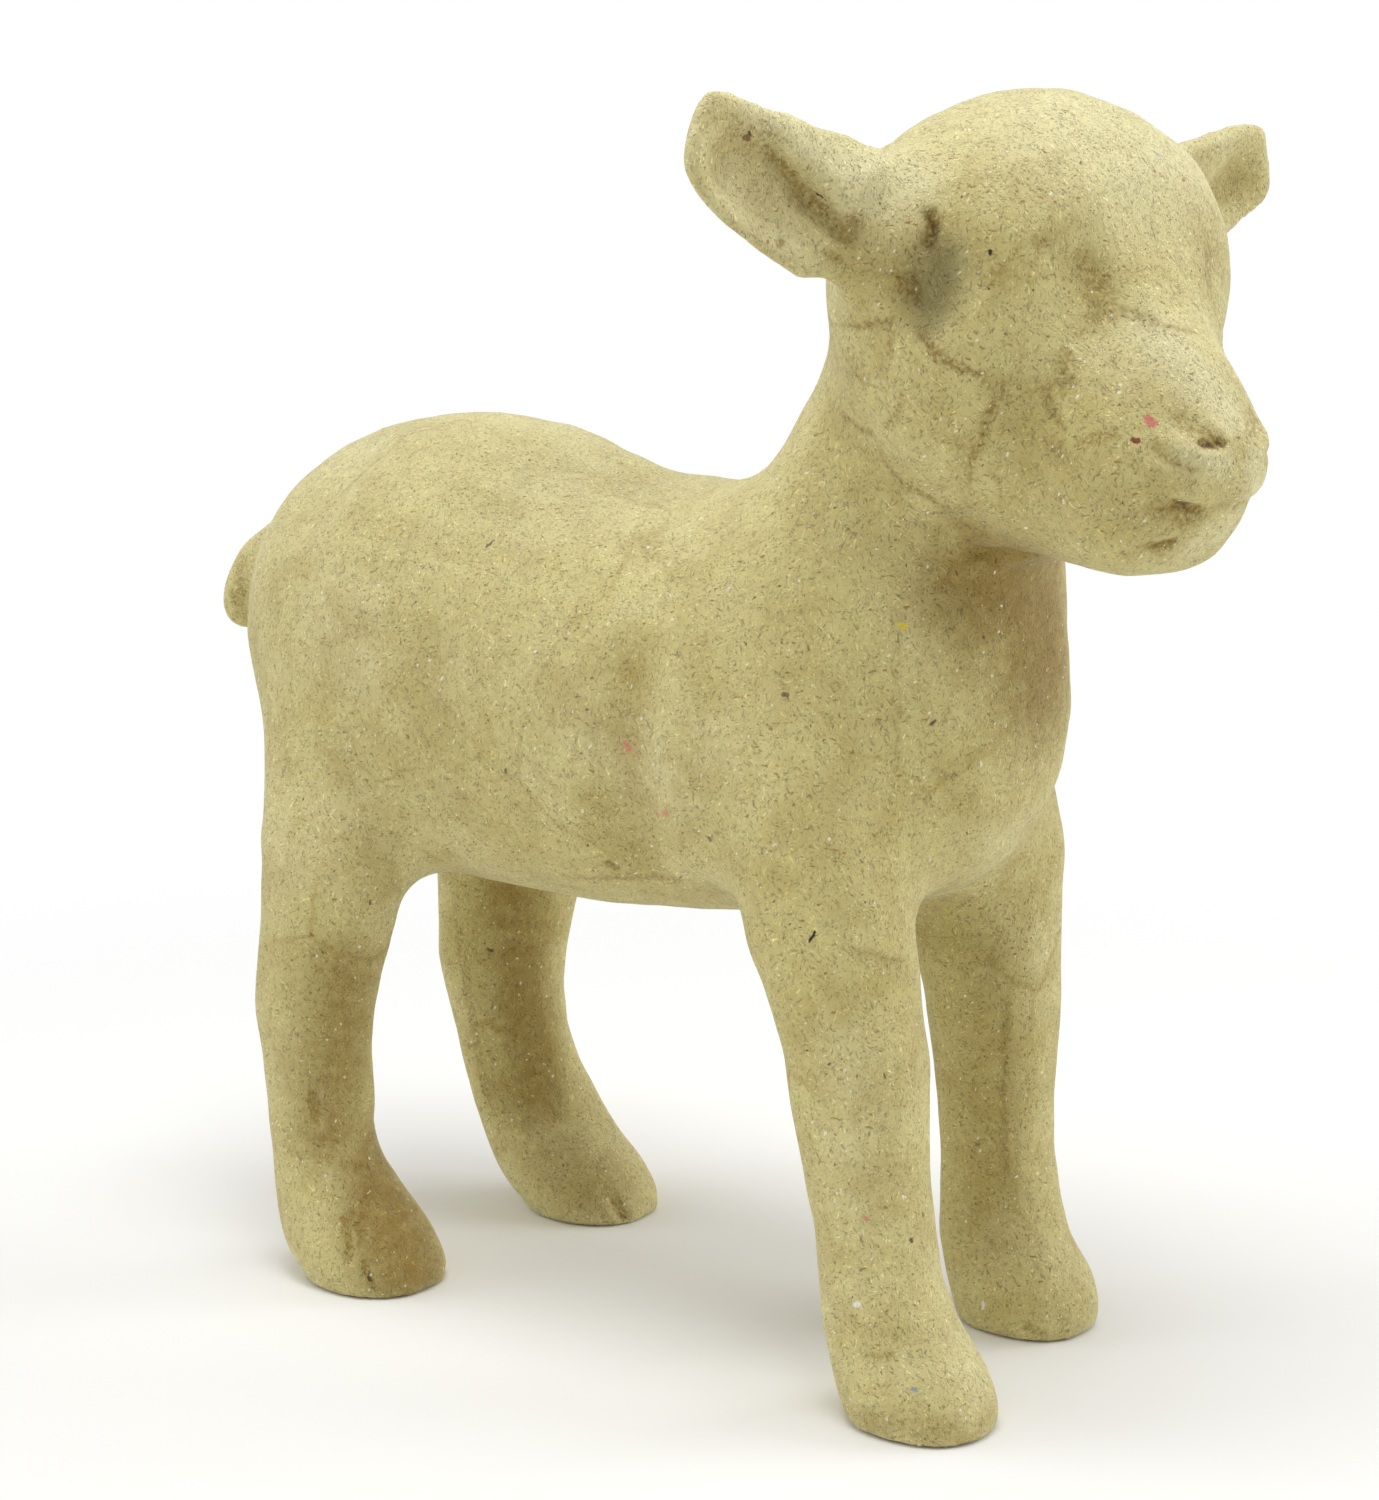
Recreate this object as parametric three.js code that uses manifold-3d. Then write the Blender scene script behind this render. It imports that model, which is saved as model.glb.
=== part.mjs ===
// A standing lamb of pasted kraft paper. Hollow shell halves make the trunk with its neck, the head and
// the four legs. The ears and the tail are solid pulp, the soles are board, and paper strips cover the seams.
// Millimetres, +Z up. The lamb faces +X and its left side is +Y.

import * as THREE from "three";
import { LoftGeometry } from "three/addons/geometries/LoftGeometry.js";
import { mergeVertices } from "three/addons/utils/BufferGeometryUtils.js";
import Module from "manifold-3d";

const wasm = await Module();
wasm.setup();

// Paper, board and paste
const SHELL_WALL = 2.2;
const PASTE_GAP = 0.3;
const STRIP_PAPER = 0.5;
const SEAM_STRIP_WIDTH = 11;
const NECK_STRIP_WIDTH = 13;
const SOLE_BOARD = 1.4;
const SOLE_INSET = 0.6;
const END_CROWN = 0.05;

// Trunk and neck, from the buttocks to the top of the neck.
// back and belly are the ends of a station on the middle plane, as [x, z].
const TRUNK = {
  rumpEnd: { back: [-92.5, 122], belly: [-93, 106], halfWidth: 7 },
  buttock: { back: [-88.5, 132], belly: [-89.5, 90], halfWidth: 17 },
  haunch: { back: [-79, 140.3], belly: [-80, 77.5], halfWidth: 26 },
  croup: { back: [-64, 147], belly: [-63, 71], halfWidth: 32 },
  loin: { back: [-44, 148.9], belly: [-42, 68.7], halfWidth: 34 },
  flank: { back: [-21, 142.8], belly: [-16, 68.6], halfWidth: 34 },
  ribs: { back: [-6, 139.2], belly: [12, 70.4], halfWidth: 33.5 },
  withers: { back: [6, 139.8], belly: [36, 73.6], halfWidth: 32 },
  shoulder: { back: [15.5, 144], belly: [52, 82.5], halfWidth: 29 },
  breast: { back: [21.8, 152], belly: [59.7, 98], halfWidth: 25 },
  throat: { back: [26, 162.5], belly: [59.7, 122], halfWidth: 20.5 },
  neckTop: { back: [32, 178], belly: [57, 150], halfWidth: 17.5 },
};
const TRUNK_FULLNESS = 2.15;

// Head, in its own frame on the neck: x runs forward from the neck's axis and z is height above the floor.
const HEAD_FORWARD = 40;
const HEAD_TURN = THREE.MathUtils.degToRad(-13);
const HEAD = {
  nape: { back: [-7, 181], belly: [-9, 167], halfWidth: 8, taper: 0 },
  occiput: { back: [-2, 190], belly: [-6, 157], halfWidth: 18, taper: 0 },
  poll: { back: [8, 197], belly: [1, 147], halfWidth: 25, taper: 0 },
  crown: { back: [20, 199.2], belly: [9, 138.5], halfWidth: 29.5, taper: 0 },
  forehead: { back: [31, 196.2], belly: [18, 134], halfWidth: 30, taper: -0.04 },
  brow: { back: [39, 188.5], belly: [27, 131.5], halfWidth: 25.8, taper: -0.2 },
  eyes: { back: [43.2, 177.2], belly: [34, 130.5], halfWidth: 17.8, taper: -0.06 },
  bridge: { back: [47.5, 168], belly: [41, 130], halfWidth: 17.4, taper: 0.12 },
  muzzle: { back: [53, 161.5], belly: [46, 130.5], halfWidth: 15.4, taper: 0.1 },
  nostrils: { back: [56.5, 155.3], belly: [50.2, 132], halfWidth: 12.6, taper: 0 },
  noseTip: { back: [58, 151.2], belly: [53, 136.4], halfWidth: 9, taper: -0.25 },
  noseEnd: { back: [58.5, 149.3], belly: [56.8, 142.4], halfWidth: 4.8, taper: -0.3 },
};
const HEAD_FULLNESS = 2.1;

// Face, in the head's frame: half sizes run forward, across and up.
const NOSTRIL = { at: [57.7, 5.5, 149.9], half: [3.2, 2.6, 1.4], depth: 1.4 };
const MOUTH = { at: [50, 0, 141.2], half: [13.5, 15.5, 1.1], depth: 1.5 };

// Where the head's underside meets the neck behind and in front, as [x, z] on the middle plane.
const NECK_JOINT = { nape: [29, 172], throat: [59.5, 132] };

// Ears, from the root inside the head to the tip. The root lies at a share of the crown's height, sunk
// into the side of the head there. along is the distance out from the root. Each ear rises by its own share
// and hangs below its middle line by its own share.
const EAR_ROOT = { heightShare: 0.618, sunk: 5.8 };
const EAR_SWEEP_BACK = 0.04;
const EAR_RISE = { right: 0.34, left: 0.28 };
const EAR_DEPTH = { right: 1, left: 0.66 };
const EAR = {
  root: { along: 0, above: 11.4, below: 10, halfThickness: 5.8, cup: 0 },
  base: { along: 8, above: 11.8, below: 9.8, halfThickness: 5.4, cup: 1.5 },
  bowl: { along: 18, above: 11.4, below: 8.9, halfThickness: 4.5, cup: 4 },
  blade: { along: 26.5, above: 10.8, below: 7.6, halfThickness: 3.8, cup: 4.2 },
  lip: { along: 33.2, above: 10.4, below: 6.2, halfThickness: 3.2, cup: 3.2 },
  tip: { along: 38.4, above: 9.7, below: 3.6, halfThickness: 2.6, cup: 1.6 },
  tipEnd: { along: 40.4, above: 8.6, below: 1.6, halfThickness: 1.6, cup: 0.6 },
};
const EAR_FULLNESS = 2.2;

// Tail, from the root inside the rump to the tip. outer and inner are points on the middle plane.
const TAIL = {
  root: { outer: [-86, 134], inner: [-84, 119], halfWidth: 5.5 },
  dock: { outer: [-96, 132], inner: [-91.5, 116], halfWidth: 6.8 },
  middle: { outer: [-104, 124], inner: [-95.5, 110], halfWidth: 7.4 },
  switch: { outer: [-109, 117], inner: [-97.3, 108], halfWidth: 7.4 },
  tip: { outer: [-109.8, 111.5], inner: [-99, 107], halfWidth: 6.3 },
  tipEnd: { outer: [-108.2, 108.6], inner: [-102.5, 106.6], halfWidth: 3 },
};
const TAIL_FULLNESS = 2.1;

// Legs, from the top of the sole upward. x is the middle of a station, out its distance from the middle
// plane. A stance moves a foot forward of its pair's mean place, less and less up to fadeHeight, and makes
// the inside of a leg narrower in front than behind by the share insideTaper.
const FRONT_LEG = {
  hoof: { z: 1.7, x: 50.5, out: 23, halfLength: 11.9, halfWidth: 10.6 },
  toe: { z: 6, x: 49.5, out: 23, halfLength: 12.5, halfWidth: 11.2 },
  pastern: { z: 16, x: 45.2, out: 23, halfLength: 10.4, halfWidth: 9.9 },
  fetlock: { z: 27, x: 43.5, out: 23, halfLength: 9.2, halfWidth: 9 },
  cannon: { z: 40, x: 42.3, out: 23, halfLength: 9.8, halfWidth: 9.2 },
  knee: { z: 55, x: 41.4, out: 23, halfLength: 11, halfWidth: 10 },
  forearm: { z: 70, x: 38, out: 23, halfLength: 12.4, halfWidth: 11.8 },
  elbow: { z: 84, x: 35, out: 23, halfLength: 15.5, halfWidth: 12.5 },
  upperArm: { z: 100, x: 31, out: 23, halfLength: 16, halfWidth: 12.2 },
  blade: { z: 116, x: 27, out: 21, halfLength: 13, halfWidth: 10.5 },
  bladeTop: { z: 127, x: 24, out: 18, halfLength: 6, halfWidth: 6 },
};
const FRONT_STANCE = { right: 4.2, left: -3.6, fadeHeight: 85, insideTaper: 0 };
const REAR_LEG = {
  hoof: { z: 1.7, x: -50.5, out: 25.5, halfLength: 12.6, halfWidth: 11.2 },
  toe: { z: 6, x: -53.5, out: 25.5, halfLength: 14, halfWidth: 11.8 },
  pastern: { z: 14, x: -59, out: 25.5, halfLength: 12.2, halfWidth: 10.4 },
  fetlock: { z: 24, x: -63.3, out: 25.5, halfLength: 10.6, halfWidth: 9.4 },
  hock: { z: 35, x: -65.5, out: 25.5, halfLength: 9.6, halfWidth: 9.3 },
  gaskin: { z: 47, x: -66.4, out: 25.5, halfLength: 11, halfWidth: 10.3 },
  stifle: { z: 60, x: -64, out: 25, halfLength: 12.2, halfWidth: 11.5 },
  thigh: { z: 75, x: -61.4, out: 23.5, halfLength: 15.4, halfWidth: 12.2 },
  hip: { z: 95, x: -61.2, out: 21, halfLength: 20, halfWidth: 12 },
  croup: { z: 112, x: -61, out: 19, halfLength: 18, halfWidth: 10.5 },
  croupTop: { z: 126, x: -58, out: 16, halfLength: 8, halfWidth: 6 },
};
const REAR_STANCE = { right: -4.1, left: 4.1, fadeHeight: 42, insideTaper: 0.4 };
const LEG_FULLNESS = 2.15;

// Facets
const TRUNK_FACETS = { rings: 24, around: 28 };
const HEAD_FACETS = { rings: 18, around: 26 };
const LEG_FACETS = { rings: 17, around: 16 };
const EAR_FACETS = { rings: 11, around: 18 };
const TAIL_FACETS = { rings: 10, around: 14 };
const DENT_FACETS = { rings: 8, around: 14 };
const CAVITY_FACETS = { rings: 12, around: 14 };
const LEG_CAVITY_FACETS = { rings: 10, around: 10 };

// Finishes
const KRAFT = { color: 0xbdb285, roughness: 0.95, metalness: 0 };
const PULP = { color: 0xb3a677, roughness: 0.97, metalness: 0 };
const STRIP = { color: 0xc4b98c, roughness: 0.95, metalness: 0 };
const BOARD = { color: 0xa08a58, roughness: 0.98, metalness: 0 };

const LEFT = new THREE.Vector3(0, 1, 0);
const RIGHT = new THREE.Vector3(0, -1, 0);
const UP = new THREE.Vector3(0, 0, 1);
const CUTTER_SIZE = 600;
const EVERYWHERE = [-CUTTER_SIZE, CUTTER_SIZE];

// A point on the middle plane.
function onMiddlePlane([x, z]) {
  return new THREE.Vector3(x, 0, z);
}

// A smooth run of single values through the stations.
function valueLine(values) {
  const points = values.map((value) => new THREE.Vector3(value, 0, 0));
  return new THREE.CatmullRomCurve3(points, false, "catmullrom", 0.5);
}

// Cosine or sine bent towards a squarer outline: 2 is a plain ellipse, more is fuller.
function fuller(value, fullness) {
  return Math.sign(value) * Math.abs(value) ** (2 / fullness);
}

// A smooth closed form through stations, each with an upper and a lower point and a half width across.
// A station may also have a taper, which narrows its upper half and widens its lower half by that share,
// a lean, which does so on one side alone, and a bow, which pushes the middle of its ring along across.
function form(stations, across, fullness, facets) {
  const upperLine = new THREE.CatmullRomCurve3(stations.map((station) => station.upper));
  const lowerLine = new THREE.CatmullRomCurve3(stations.map((station) => station.lower));
  const widthLine = valueLine(stations.map((station) => station.halfWidth));
  const taperLine = valueLine(stations.map((station) => station.taper ?? 0));
  const leanLine = valueLine(stations.map((station) => station.lean ?? 0));
  const bowLine = valueLine(stations.map((station) => station.bow ?? 0));
  const rings = [];
  for (let i = 0; i < facets.rings; i += 1) {
    const t = i / (facets.rings - 1);
    const upper = upperLine.getPoint(t);
    const lower = lowerLine.getPoint(t);
    const halfWidth = widthLine.getPoint(t).x;
    const taper = taperLine.getPoint(t).x;
    const lean = leanLine.getPoint(t).x;
    const bow = bowLine.getPoint(t).x;
    const ring = [];
    for (let j = 0; j < facets.around; j += 1) {
      const angle = (2 * Math.PI * j) / facets.around;
      const side = fuller(Math.cos(angle), fullness);
      const rise = fuller(Math.sin(angle), fullness);
      const point = lower.clone().lerp(upper, (1 + rise) / 2);
      const narrowing = taper + (side * lean > 0 ? Math.abs(lean) : 0);
      const sideways = side * halfWidth * (1 - narrowing * rise) + bow * (1 - rise * rise);
      ring.push(point.addScaledVector(across, sideways));
    }
    rings.push(ring);
  }
  const sections = [endRing(rings[0], rings[1]), ...rings, endRing(rings.at(-1), rings.at(-2))];
  return welded(new LoftGeometry(sections, { closed: true, capStart: true, capEnd: true }));
}

// The middle of a ring of points.
function middleOf(ring) {
  const middle = new THREE.Vector3();
  for (const point of ring) {
    middle.addScaledVector(point, 1 / ring.length);
  }
  return middle;
}

// An end ring drawn half way in and a touch out, so that a wall is as thick at a form's ends as on its sides.
function endRing(ring, neighbour) {
  const middle = middleOf(ring);
  const outward = middle.clone().sub(middleOf(neighbour)).setLength(END_CROWN);
  return ring.map((point) => point.clone().lerp(middle, 0.5).add(outward));
}

// Bare geometry with one vertex at each place.
function welded(geometry) {
  const bare = new THREE.BufferGeometry().copy(geometry);
  bare.deleteAttribute("normal");
  bare.deleteAttribute("uv");
  return mergeVertices(bare, 1e-4);
}

// The same surface moved out along its normals; a negative distance gives the inside of a paper wall.
function pushed(geometry, distance) {
  const skin = geometry.clone();
  skin.computeVertexNormals();
  const position = skin.getAttribute("position");
  const normal = skin.getAttribute("normal");
  const point = new THREE.Vector3();
  const push = new THREE.Vector3();
  for (let i = 0; i < position.count; i += 1) {
    point.fromBufferAttribute(position, i);
    push.fromBufferAttribute(normal, i);
    point.addScaledVector(push, distance);
    position.setXYZ(i, point.x, point.y, point.z);
  }
  skin.deleteAttribute("normal");
  return skin;
}

// A closed geometry as a solid that can be joined and cut.
function solid(geometry) {
  const skin = welded(geometry);
  const mesh = new wasm.Mesh({
    numProp: 3,
    vertProperties: skin.getAttribute("position").array,
    triVerts: new Uint32Array(skin.index.array),
  });
  return new wasm.Manifold(mesh);
}

// A cutting block that spans two heights, two distances forward and two distances to the left.
function block([rear, front], [right, left], [bottom, top]) {
  const geometry = new THREE.BoxGeometry(front - rear, left - right, top - bottom);
  return geometry.translate((rear + front) / 2, (right + left) / 2, (bottom + top) / 2);
}

// A layer of paper pasted on a form.
function pastedLayer(geometry) {
  const face = solid(pushed(geometry, PASTE_GAP));
  return solid(pushed(geometry, PASTE_GAP + STRIP_PAPER)).subtract(face);
}

// Everything on one side (+1 left, -1 right) of a lengthwise plane, half a paste gap clear of it.
function sideOf(planeY, side) {
  const near = planeY + (side * PASTE_GAP) / 2;
  const far = planeY + side * CUTTER_SIZE;
  const across = [Math.min(near, far), Math.max(near, far)];
  return solid(block(EVERYWHERE, across, EVERYWHERE));
}

// The main body of a cut shape, without the slivers that a cut can leave beside it.
function mainBody(shape) {
  const bodies = shape.decompose();
  return bodies.reduce((best, body) => (body.volume() > best.volume() ? body : best));
}

// A named mesh of a solid in one finish.
function piece(name, shape, finish) {
  const { vertProperties, triVerts } = mainBody(shape).getMesh();
  const geometry = new THREE.BufferGeometry();
  geometry.setAttribute("position", new THREE.BufferAttribute(vertProperties, 3));
  geometry.setIndex(new THREE.BufferAttribute(triVerts, 1));
  geometry.computeVertexNormals();
  const mesh = new THREE.Mesh(geometry, new THREE.MeshStandardMaterial(finish));
  mesh.name = name;
  return mesh;
}

// Stations of the trunk or of the head, from points on the middle plane.
function profileStations(profile) {
  return Object.values(profile).map(({ back, belly, halfWidth, taper }) => ({
    upper: onMiddlePlane(back),
    lower: onMiddlePlane(belly),
    halfWidth,
    taper,
  }));
}

function trunkForm(facets) {
  return form(profileStations(TRUNK), LEFT, TRUNK_FULLNESS, facets);
}

function headForm(facets) {
  return form(profileStations(HEAD), LEFT, HEAD_FULLNESS, facets);
}

function tailForm() {
  const stations = Object.values(TAIL).map(({ outer, inner, halfWidth }) => ({
    upper: onMiddlePlane(outer),
    lower: onMiddlePlane(inner),
    halfWidth,
  }));
  return form(stations, RIGHT, TAIL_FULLNESS, TAIL_FACETS);
}

// Stations of one leg in its stance. The foot itself stays even, because its sole is.
function legStations(profile, stance, sideName, side) {
  return Object.values(profile).map(({ z, x, out, halfLength, halfWidth }) => {
    const fade = Math.max(0, 1 - z / stance.fadeHeight);
    const middle = new THREE.Vector3(x + stance[sideName] * fade, side * out, z);
    return {
      upper: middle.clone().setX(middle.x + halfLength),
      lower: middle.clone().setX(middle.x - halfLength),
      halfWidth,
      lean: side * stance.insideTaper * Math.min(1, z / profile.fetlock.z),
    };
  });
}

// Where an ear starts, a little inside the side of the head at the crown.
function earRoot(side) {
  const { back, belly, halfWidth } = HEAD.crown;
  const root = onMiddlePlane(belly).lerp(onMiddlePlane(back), EAR_ROOT.heightShare);
  const rise = Math.abs(2 * EAR_ROOT.heightShare - 1);
  const cheek = halfWidth * (1 - rise ** HEAD_FULLNESS) ** (1 / HEAD_FULLNESS);
  return root.setY(side * (cheek - EAR_ROOT.sunk));
}

// An ear in the head's frame: a bowed blade that leaves the head sideways, upward and a little back.
function earForm({ sideName, side }) {
  const root = earRoot(side);
  const along = new THREE.Vector3(-EAR_SWEEP_BACK, side, EAR_RISE[sideName]).normalize();
  const rise = UP.clone().addScaledVector(along, -UP.dot(along)).normalize();
  const across = new THREE.Vector3().crossVectors(rise, along);
  const backward = Math.sign(-across.x);
  const stations = Object.values(EAR).map((station) => {
    const middle = root.clone().addScaledVector(along, station.along);
    return {
      upper: middle.clone().addScaledVector(rise, station.above),
      lower: middle.clone().addScaledVector(rise, -station.below * EAR_DEPTH[sideName]),
      halfWidth: station.halfThickness,
      bow: backward * station.cup,
    };
  });
  return form(stations, across, EAR_FULLNESS, EAR_FACETS);
}

// A board sole under a leg, cut to the outline of its hoof.
function soleForm(hoof) {
  const outline = new THREE.Vector3(hoof.upper.x - hoof.lower.x, 2 * hoof.halfWidth, 0);
  const half = outline.clone().multiplyScalar(0.5).subScalar(SOLE_INSET);
  const middle = hoof.upper.clone().lerp(hoof.lower, 0.5);
  const sections = [0, SOLE_BOARD].map((z) => {
    const section = [];
    for (let j = 0; j < LEG_FACETS.around; j += 1) {
      const angle = (2 * Math.PI * j) / LEG_FACETS.around;
      const x = middle.x + half.x * fuller(Math.cos(angle), LEG_FULLNESS);
      const y = middle.y + half.y * fuller(Math.sin(angle), LEG_FULLNESS);
      section.push(new THREE.Vector3(x, y, z));
    }
    return section;
  });
  return new LoftGeometry(sections, { closed: true, capStart: true, capEnd: true });
}

const lamb = new THREE.Group();
lamb.name = "lamb";

const head = new THREE.Group();
head.name = "head";
head.position.x = HEAD_FORWARD;
head.rotation.z = HEAD_TURN;
head.updateMatrix();
lamb.add(head);

// A geometry made in the head's frame, moved into the lamb's.
function fromHead(geometry) {
  return geometry.clone().applyMatrix4(head.matrix);
}

const sides = [
  { sideName: "right", side: -1 },
  { sideName: "left", side: 1 },
];
const trunkOuter = trunkForm(TRUNK_FACETS);
const headOuter = headForm(HEAD_FACETS);
const headOnNeck = fromHead(headOuter);
const tailOuter = tailForm();
const trunkSeat = solid(pushed(trunkOuter, PASTE_GAP));

// A slab of a given width along the plane of the neck joint.
function neckSlab(width) {
  const nape = onMiddlePlane(NECK_JOINT.nape);
  const throat = onMiddlePlane(NECK_JOINT.throat);
  const slope = Math.atan2(nape.z - throat.z, throat.x - nape.x);
  const slab = block(EVERYWHERE, EVERYWHERE, [-width / 2, width / 2]).rotateY(slope);
  return solid(slab.translate((nape.x + throat.x) / 2, 0, (nape.z + throat.z) / 2));
}

function addTrunk() {
  const cavity = solid(pushed(trunkForm(CAVITY_FACETS), -SHELL_WALL));
  const headSeat = solid(pushed(headOnNeck, PASTE_GAP));
  const shell = solid(trunkOuter).subtract(cavity).subtract(headSeat);
  for (const { sideName, side } of sides) {
    lamb.add(piece(`body_shell_${sideName}`, shell.intersect(sideOf(0, side)), KRAFT));
  }
}

// An egg-shaped tool that presses a slit into the face, on one side of it and no deeper than its depth.
function dent({ at, half, depth }, side) {
  const egg = new THREE.SphereGeometry(1, DENT_FACETS.around, DENT_FACETS.rings);
  egg.scale(...half);
  egg.translate(at[0], side * at[1], at[2]);
  return solid(egg).subtract(solid(pushed(headOuter, -depth)));
}

function addHead() {
  const cavity = solid(pushed(headForm(CAVITY_FACETS), -SHELL_WALL));
  let shell = solid(headOuter).subtract(cavity).subtract(dent(MOUTH, 1));
  for (const { side } of sides) {
    shell = shell.subtract(dent(NOSTRIL, side));
  }
  const seat = solid(pushed(headOuter, PASTE_GAP));
  for (const { sideName, side } of sides) {
    head.add(piece(`head_shell_${sideName}`, shell.intersect(sideOf(0, side)), KRAFT));
    head.add(piece(`ear_${sideName}`, solid(earForm({ sideName, side })).subtract(seat), PULP));
  }
}

function addTail() {
  lamb.add(piece("tail", solid(tailOuter).subtract(trunkSeat), PULP));
}

function addLeg(pairName, profile, stance, { sideName, side }) {
  const stations = legStations(profile, stance, sideName, side);
  const outer = form(stations, RIGHT, LEG_FULLNESS, LEG_FACETS);
  const cavity = pushed(form(stations, RIGHT, LEG_FULLNESS, LEG_CAVITY_FACETS), -SHELL_WALL);
  const shell = solid(outer).subtract(solid(cavity)).subtract(trunkSeat);
  const splitY = side * profile.hoof.out;
  const name = `${pairName}_${sideName}`;
  lamb.add(piece(`leg_${name}_outer`, shell.intersect(sideOf(splitY, side)), KRAFT));
  lamb.add(piece(`leg_${name}_inner`, shell.intersect(sideOf(splitY, -side)), KRAFT));
  lamb.add(piece(`sole_${name}`, solid(soleForm(stations[0])), BOARD));
}

// A collar strip round the neck joint, lapping on to the head and on to the neck, clear of the ears.
function addNeckStrip() {
  const inner = solid(pushed(headOnNeck, PASTE_GAP)).add(trunkSeat);
  const outerHead = solid(pushed(headOnNeck, PASTE_GAP + STRIP_PAPER));
  const outer = outerHead.add(solid(pushed(trunkOuter, PASTE_GAP + STRIP_PAPER)));
  let strip = outer.subtract(inner).intersect(neckSlab(NECK_STRIP_WIDTH));
  for (const side of sides) {
    strip = strip.subtract(solid(fromHead(pushed(earForm(side), PASTE_GAP))));
  }
  lamb.add(piece("neck_strip", strip, STRIP));
}

// Strips along the seams: one on the back, one from under the tail to the throat, one over the crown.
function addSeamStrips() {
  const across = [-SEAM_STRIP_WIDTH / 2, SEAM_STRIP_WIDTH / 2];
  const collar = neckSlab(NECK_STRIP_WIDTH + 2 * PASTE_GAP);
  const headSeat = solid(pushed(headOnNeck, PASTE_GAP));
  const tailSeat = solid(pushed(tailOuter, PASTE_GAP));
  const trunkLayer = pastedLayer(trunkOuter).subtract(collar).subtract(headSeat).subtract(tailSeat);
  const tailHeight = (TAIL.dock.outer[1] + TAIL.dock.inner[1]) / 2;
  const neckMiddle = (NECK_JOINT.nape[0] + NECK_JOINT.throat[0]) / 2;
  const backZone = solid(block([-CUTTER_SIZE, neckMiddle], across, [tailHeight, CUTTER_SIZE]));
  const bellyZone = solid(block(EVERYWHERE, across, EVERYWHERE)).subtract(backZone);
  lamb.add(piece("back_seam_strip", trunkLayer.intersect(backZone), STRIP));
  lamb.add(piece("belly_seam_strip", trunkLayer.intersect(bellyZone), STRIP));
  const crownBlock = block([-CUTTER_SIZE, HEAD.brow.back[0]], across, [HEAD.nape.belly[1], CUTTER_SIZE]);
  const headLayer = pastedLayer(headOnNeck).subtract(collar).subtract(trunkSeat);
  lamb.add(piece("crown_seam_strip", headLayer.intersect(solid(fromHead(crownBlock))), STRIP));
}

// Moves the whole lamb so that the middle of its base is the origin.
function centreOnBase() {
  const box = new THREE.Box3().setFromObject(lamb, true);
  const middle = box.getCenter(new THREE.Vector3());
  lamb.position.set(-middle.x, -middle.y, -box.min.z);
}

addTrunk();
addHead();
addTail();
for (const side of sides) {
  addLeg("front", FRONT_LEG, FRONT_STANCE, side);
  addLeg("rear", REAR_LEG, REAR_STANCE, side);
}
addNeckStrip();
addSeamStrips();
centreOnBase();

export default lamb;
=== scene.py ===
"""Looks of a standing lamb of pasted kraft paper: its skin, its board soles, the studio and the camera."""

import logging
import math
from contextlib import contextmanager
from dataclasses import dataclass, field, replace
from enum import Enum
from typing import Iterator, Optional, Union

import bmesh
import bpy
import numpy as np
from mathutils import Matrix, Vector, noise
from mathutils.bvhtree import BVHTree


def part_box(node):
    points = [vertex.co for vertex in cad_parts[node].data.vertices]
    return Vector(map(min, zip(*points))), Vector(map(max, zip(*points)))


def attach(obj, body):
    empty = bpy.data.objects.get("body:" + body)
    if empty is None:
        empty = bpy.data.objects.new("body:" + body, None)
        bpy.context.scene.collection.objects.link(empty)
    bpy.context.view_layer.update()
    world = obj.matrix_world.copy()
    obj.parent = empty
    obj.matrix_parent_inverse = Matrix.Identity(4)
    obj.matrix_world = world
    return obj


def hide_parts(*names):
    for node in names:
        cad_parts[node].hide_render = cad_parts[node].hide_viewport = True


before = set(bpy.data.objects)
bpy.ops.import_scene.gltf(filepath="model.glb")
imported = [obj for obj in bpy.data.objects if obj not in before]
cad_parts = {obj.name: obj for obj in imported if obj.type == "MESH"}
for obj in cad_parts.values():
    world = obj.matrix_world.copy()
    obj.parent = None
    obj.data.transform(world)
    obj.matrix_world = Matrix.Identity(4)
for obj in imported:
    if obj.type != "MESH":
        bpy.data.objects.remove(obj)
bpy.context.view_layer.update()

LOG = logging.getLogger("lamb")
MM = 0.001
BODY = "root"
HOLLOW_LAYER = "hollow_mm"
SAME_PLACE = 1e-6

Point = tuple[float, float, float]
Pixel = tuple[float, float]
Path = tuple[Pixel, ...]
Colour = tuple[float, float, float]
Socket = bpy.types.NodeSocket
Plug = Union[bpy.types.NodeSocket, float, Point]
Plugs = dict[Union[str, int], Plug]


def bell(distance: np.ndarray, radius: float) -> np.ndarray:
    """A soft hump of height one at distance nought that ends smoothly at radius."""
    share = np.clip(np.abs(distance) / radius, 0.0, 1.0)
    return (1.0 - share * share) ** 2


def smooth_step(share: np.ndarray) -> np.ndarray:
    """A smooth rise from 0 to 1 as a share goes from 0 to 1."""
    held = np.clip(share, 0.0, 1.0)
    return held * held * (3.0 - 2.0 * held)


def link(obj: bpy.types.Object) -> bpy.types.Object:
    """Put a new object into the scene."""
    bpy.context.scene.collection.objects.link(obj)
    return obj


def cad_nodes(*first_words: str) -> list[str]:
    """Names of the CAD nodes that start with one of the given words."""
    return sorted(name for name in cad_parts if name.startswith(first_words))


@contextmanager
def open_sheet(*meshes: bpy.types.Mesh) -> Iterator[bmesh.types.BMesh]:
    """A working copy of some meshes, for as long as it is needed."""
    sheet = bmesh.new()
    try:
        for mesh in meshes:
            sheet.from_mesh(mesh)
        yield sheet
    finally:
        sheet.free()


def cad_meshes(names: list[str]) -> list[bpy.types.Mesh]:
    """The meshes of some CAD nodes."""
    return [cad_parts[name].data for name in names]


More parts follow.
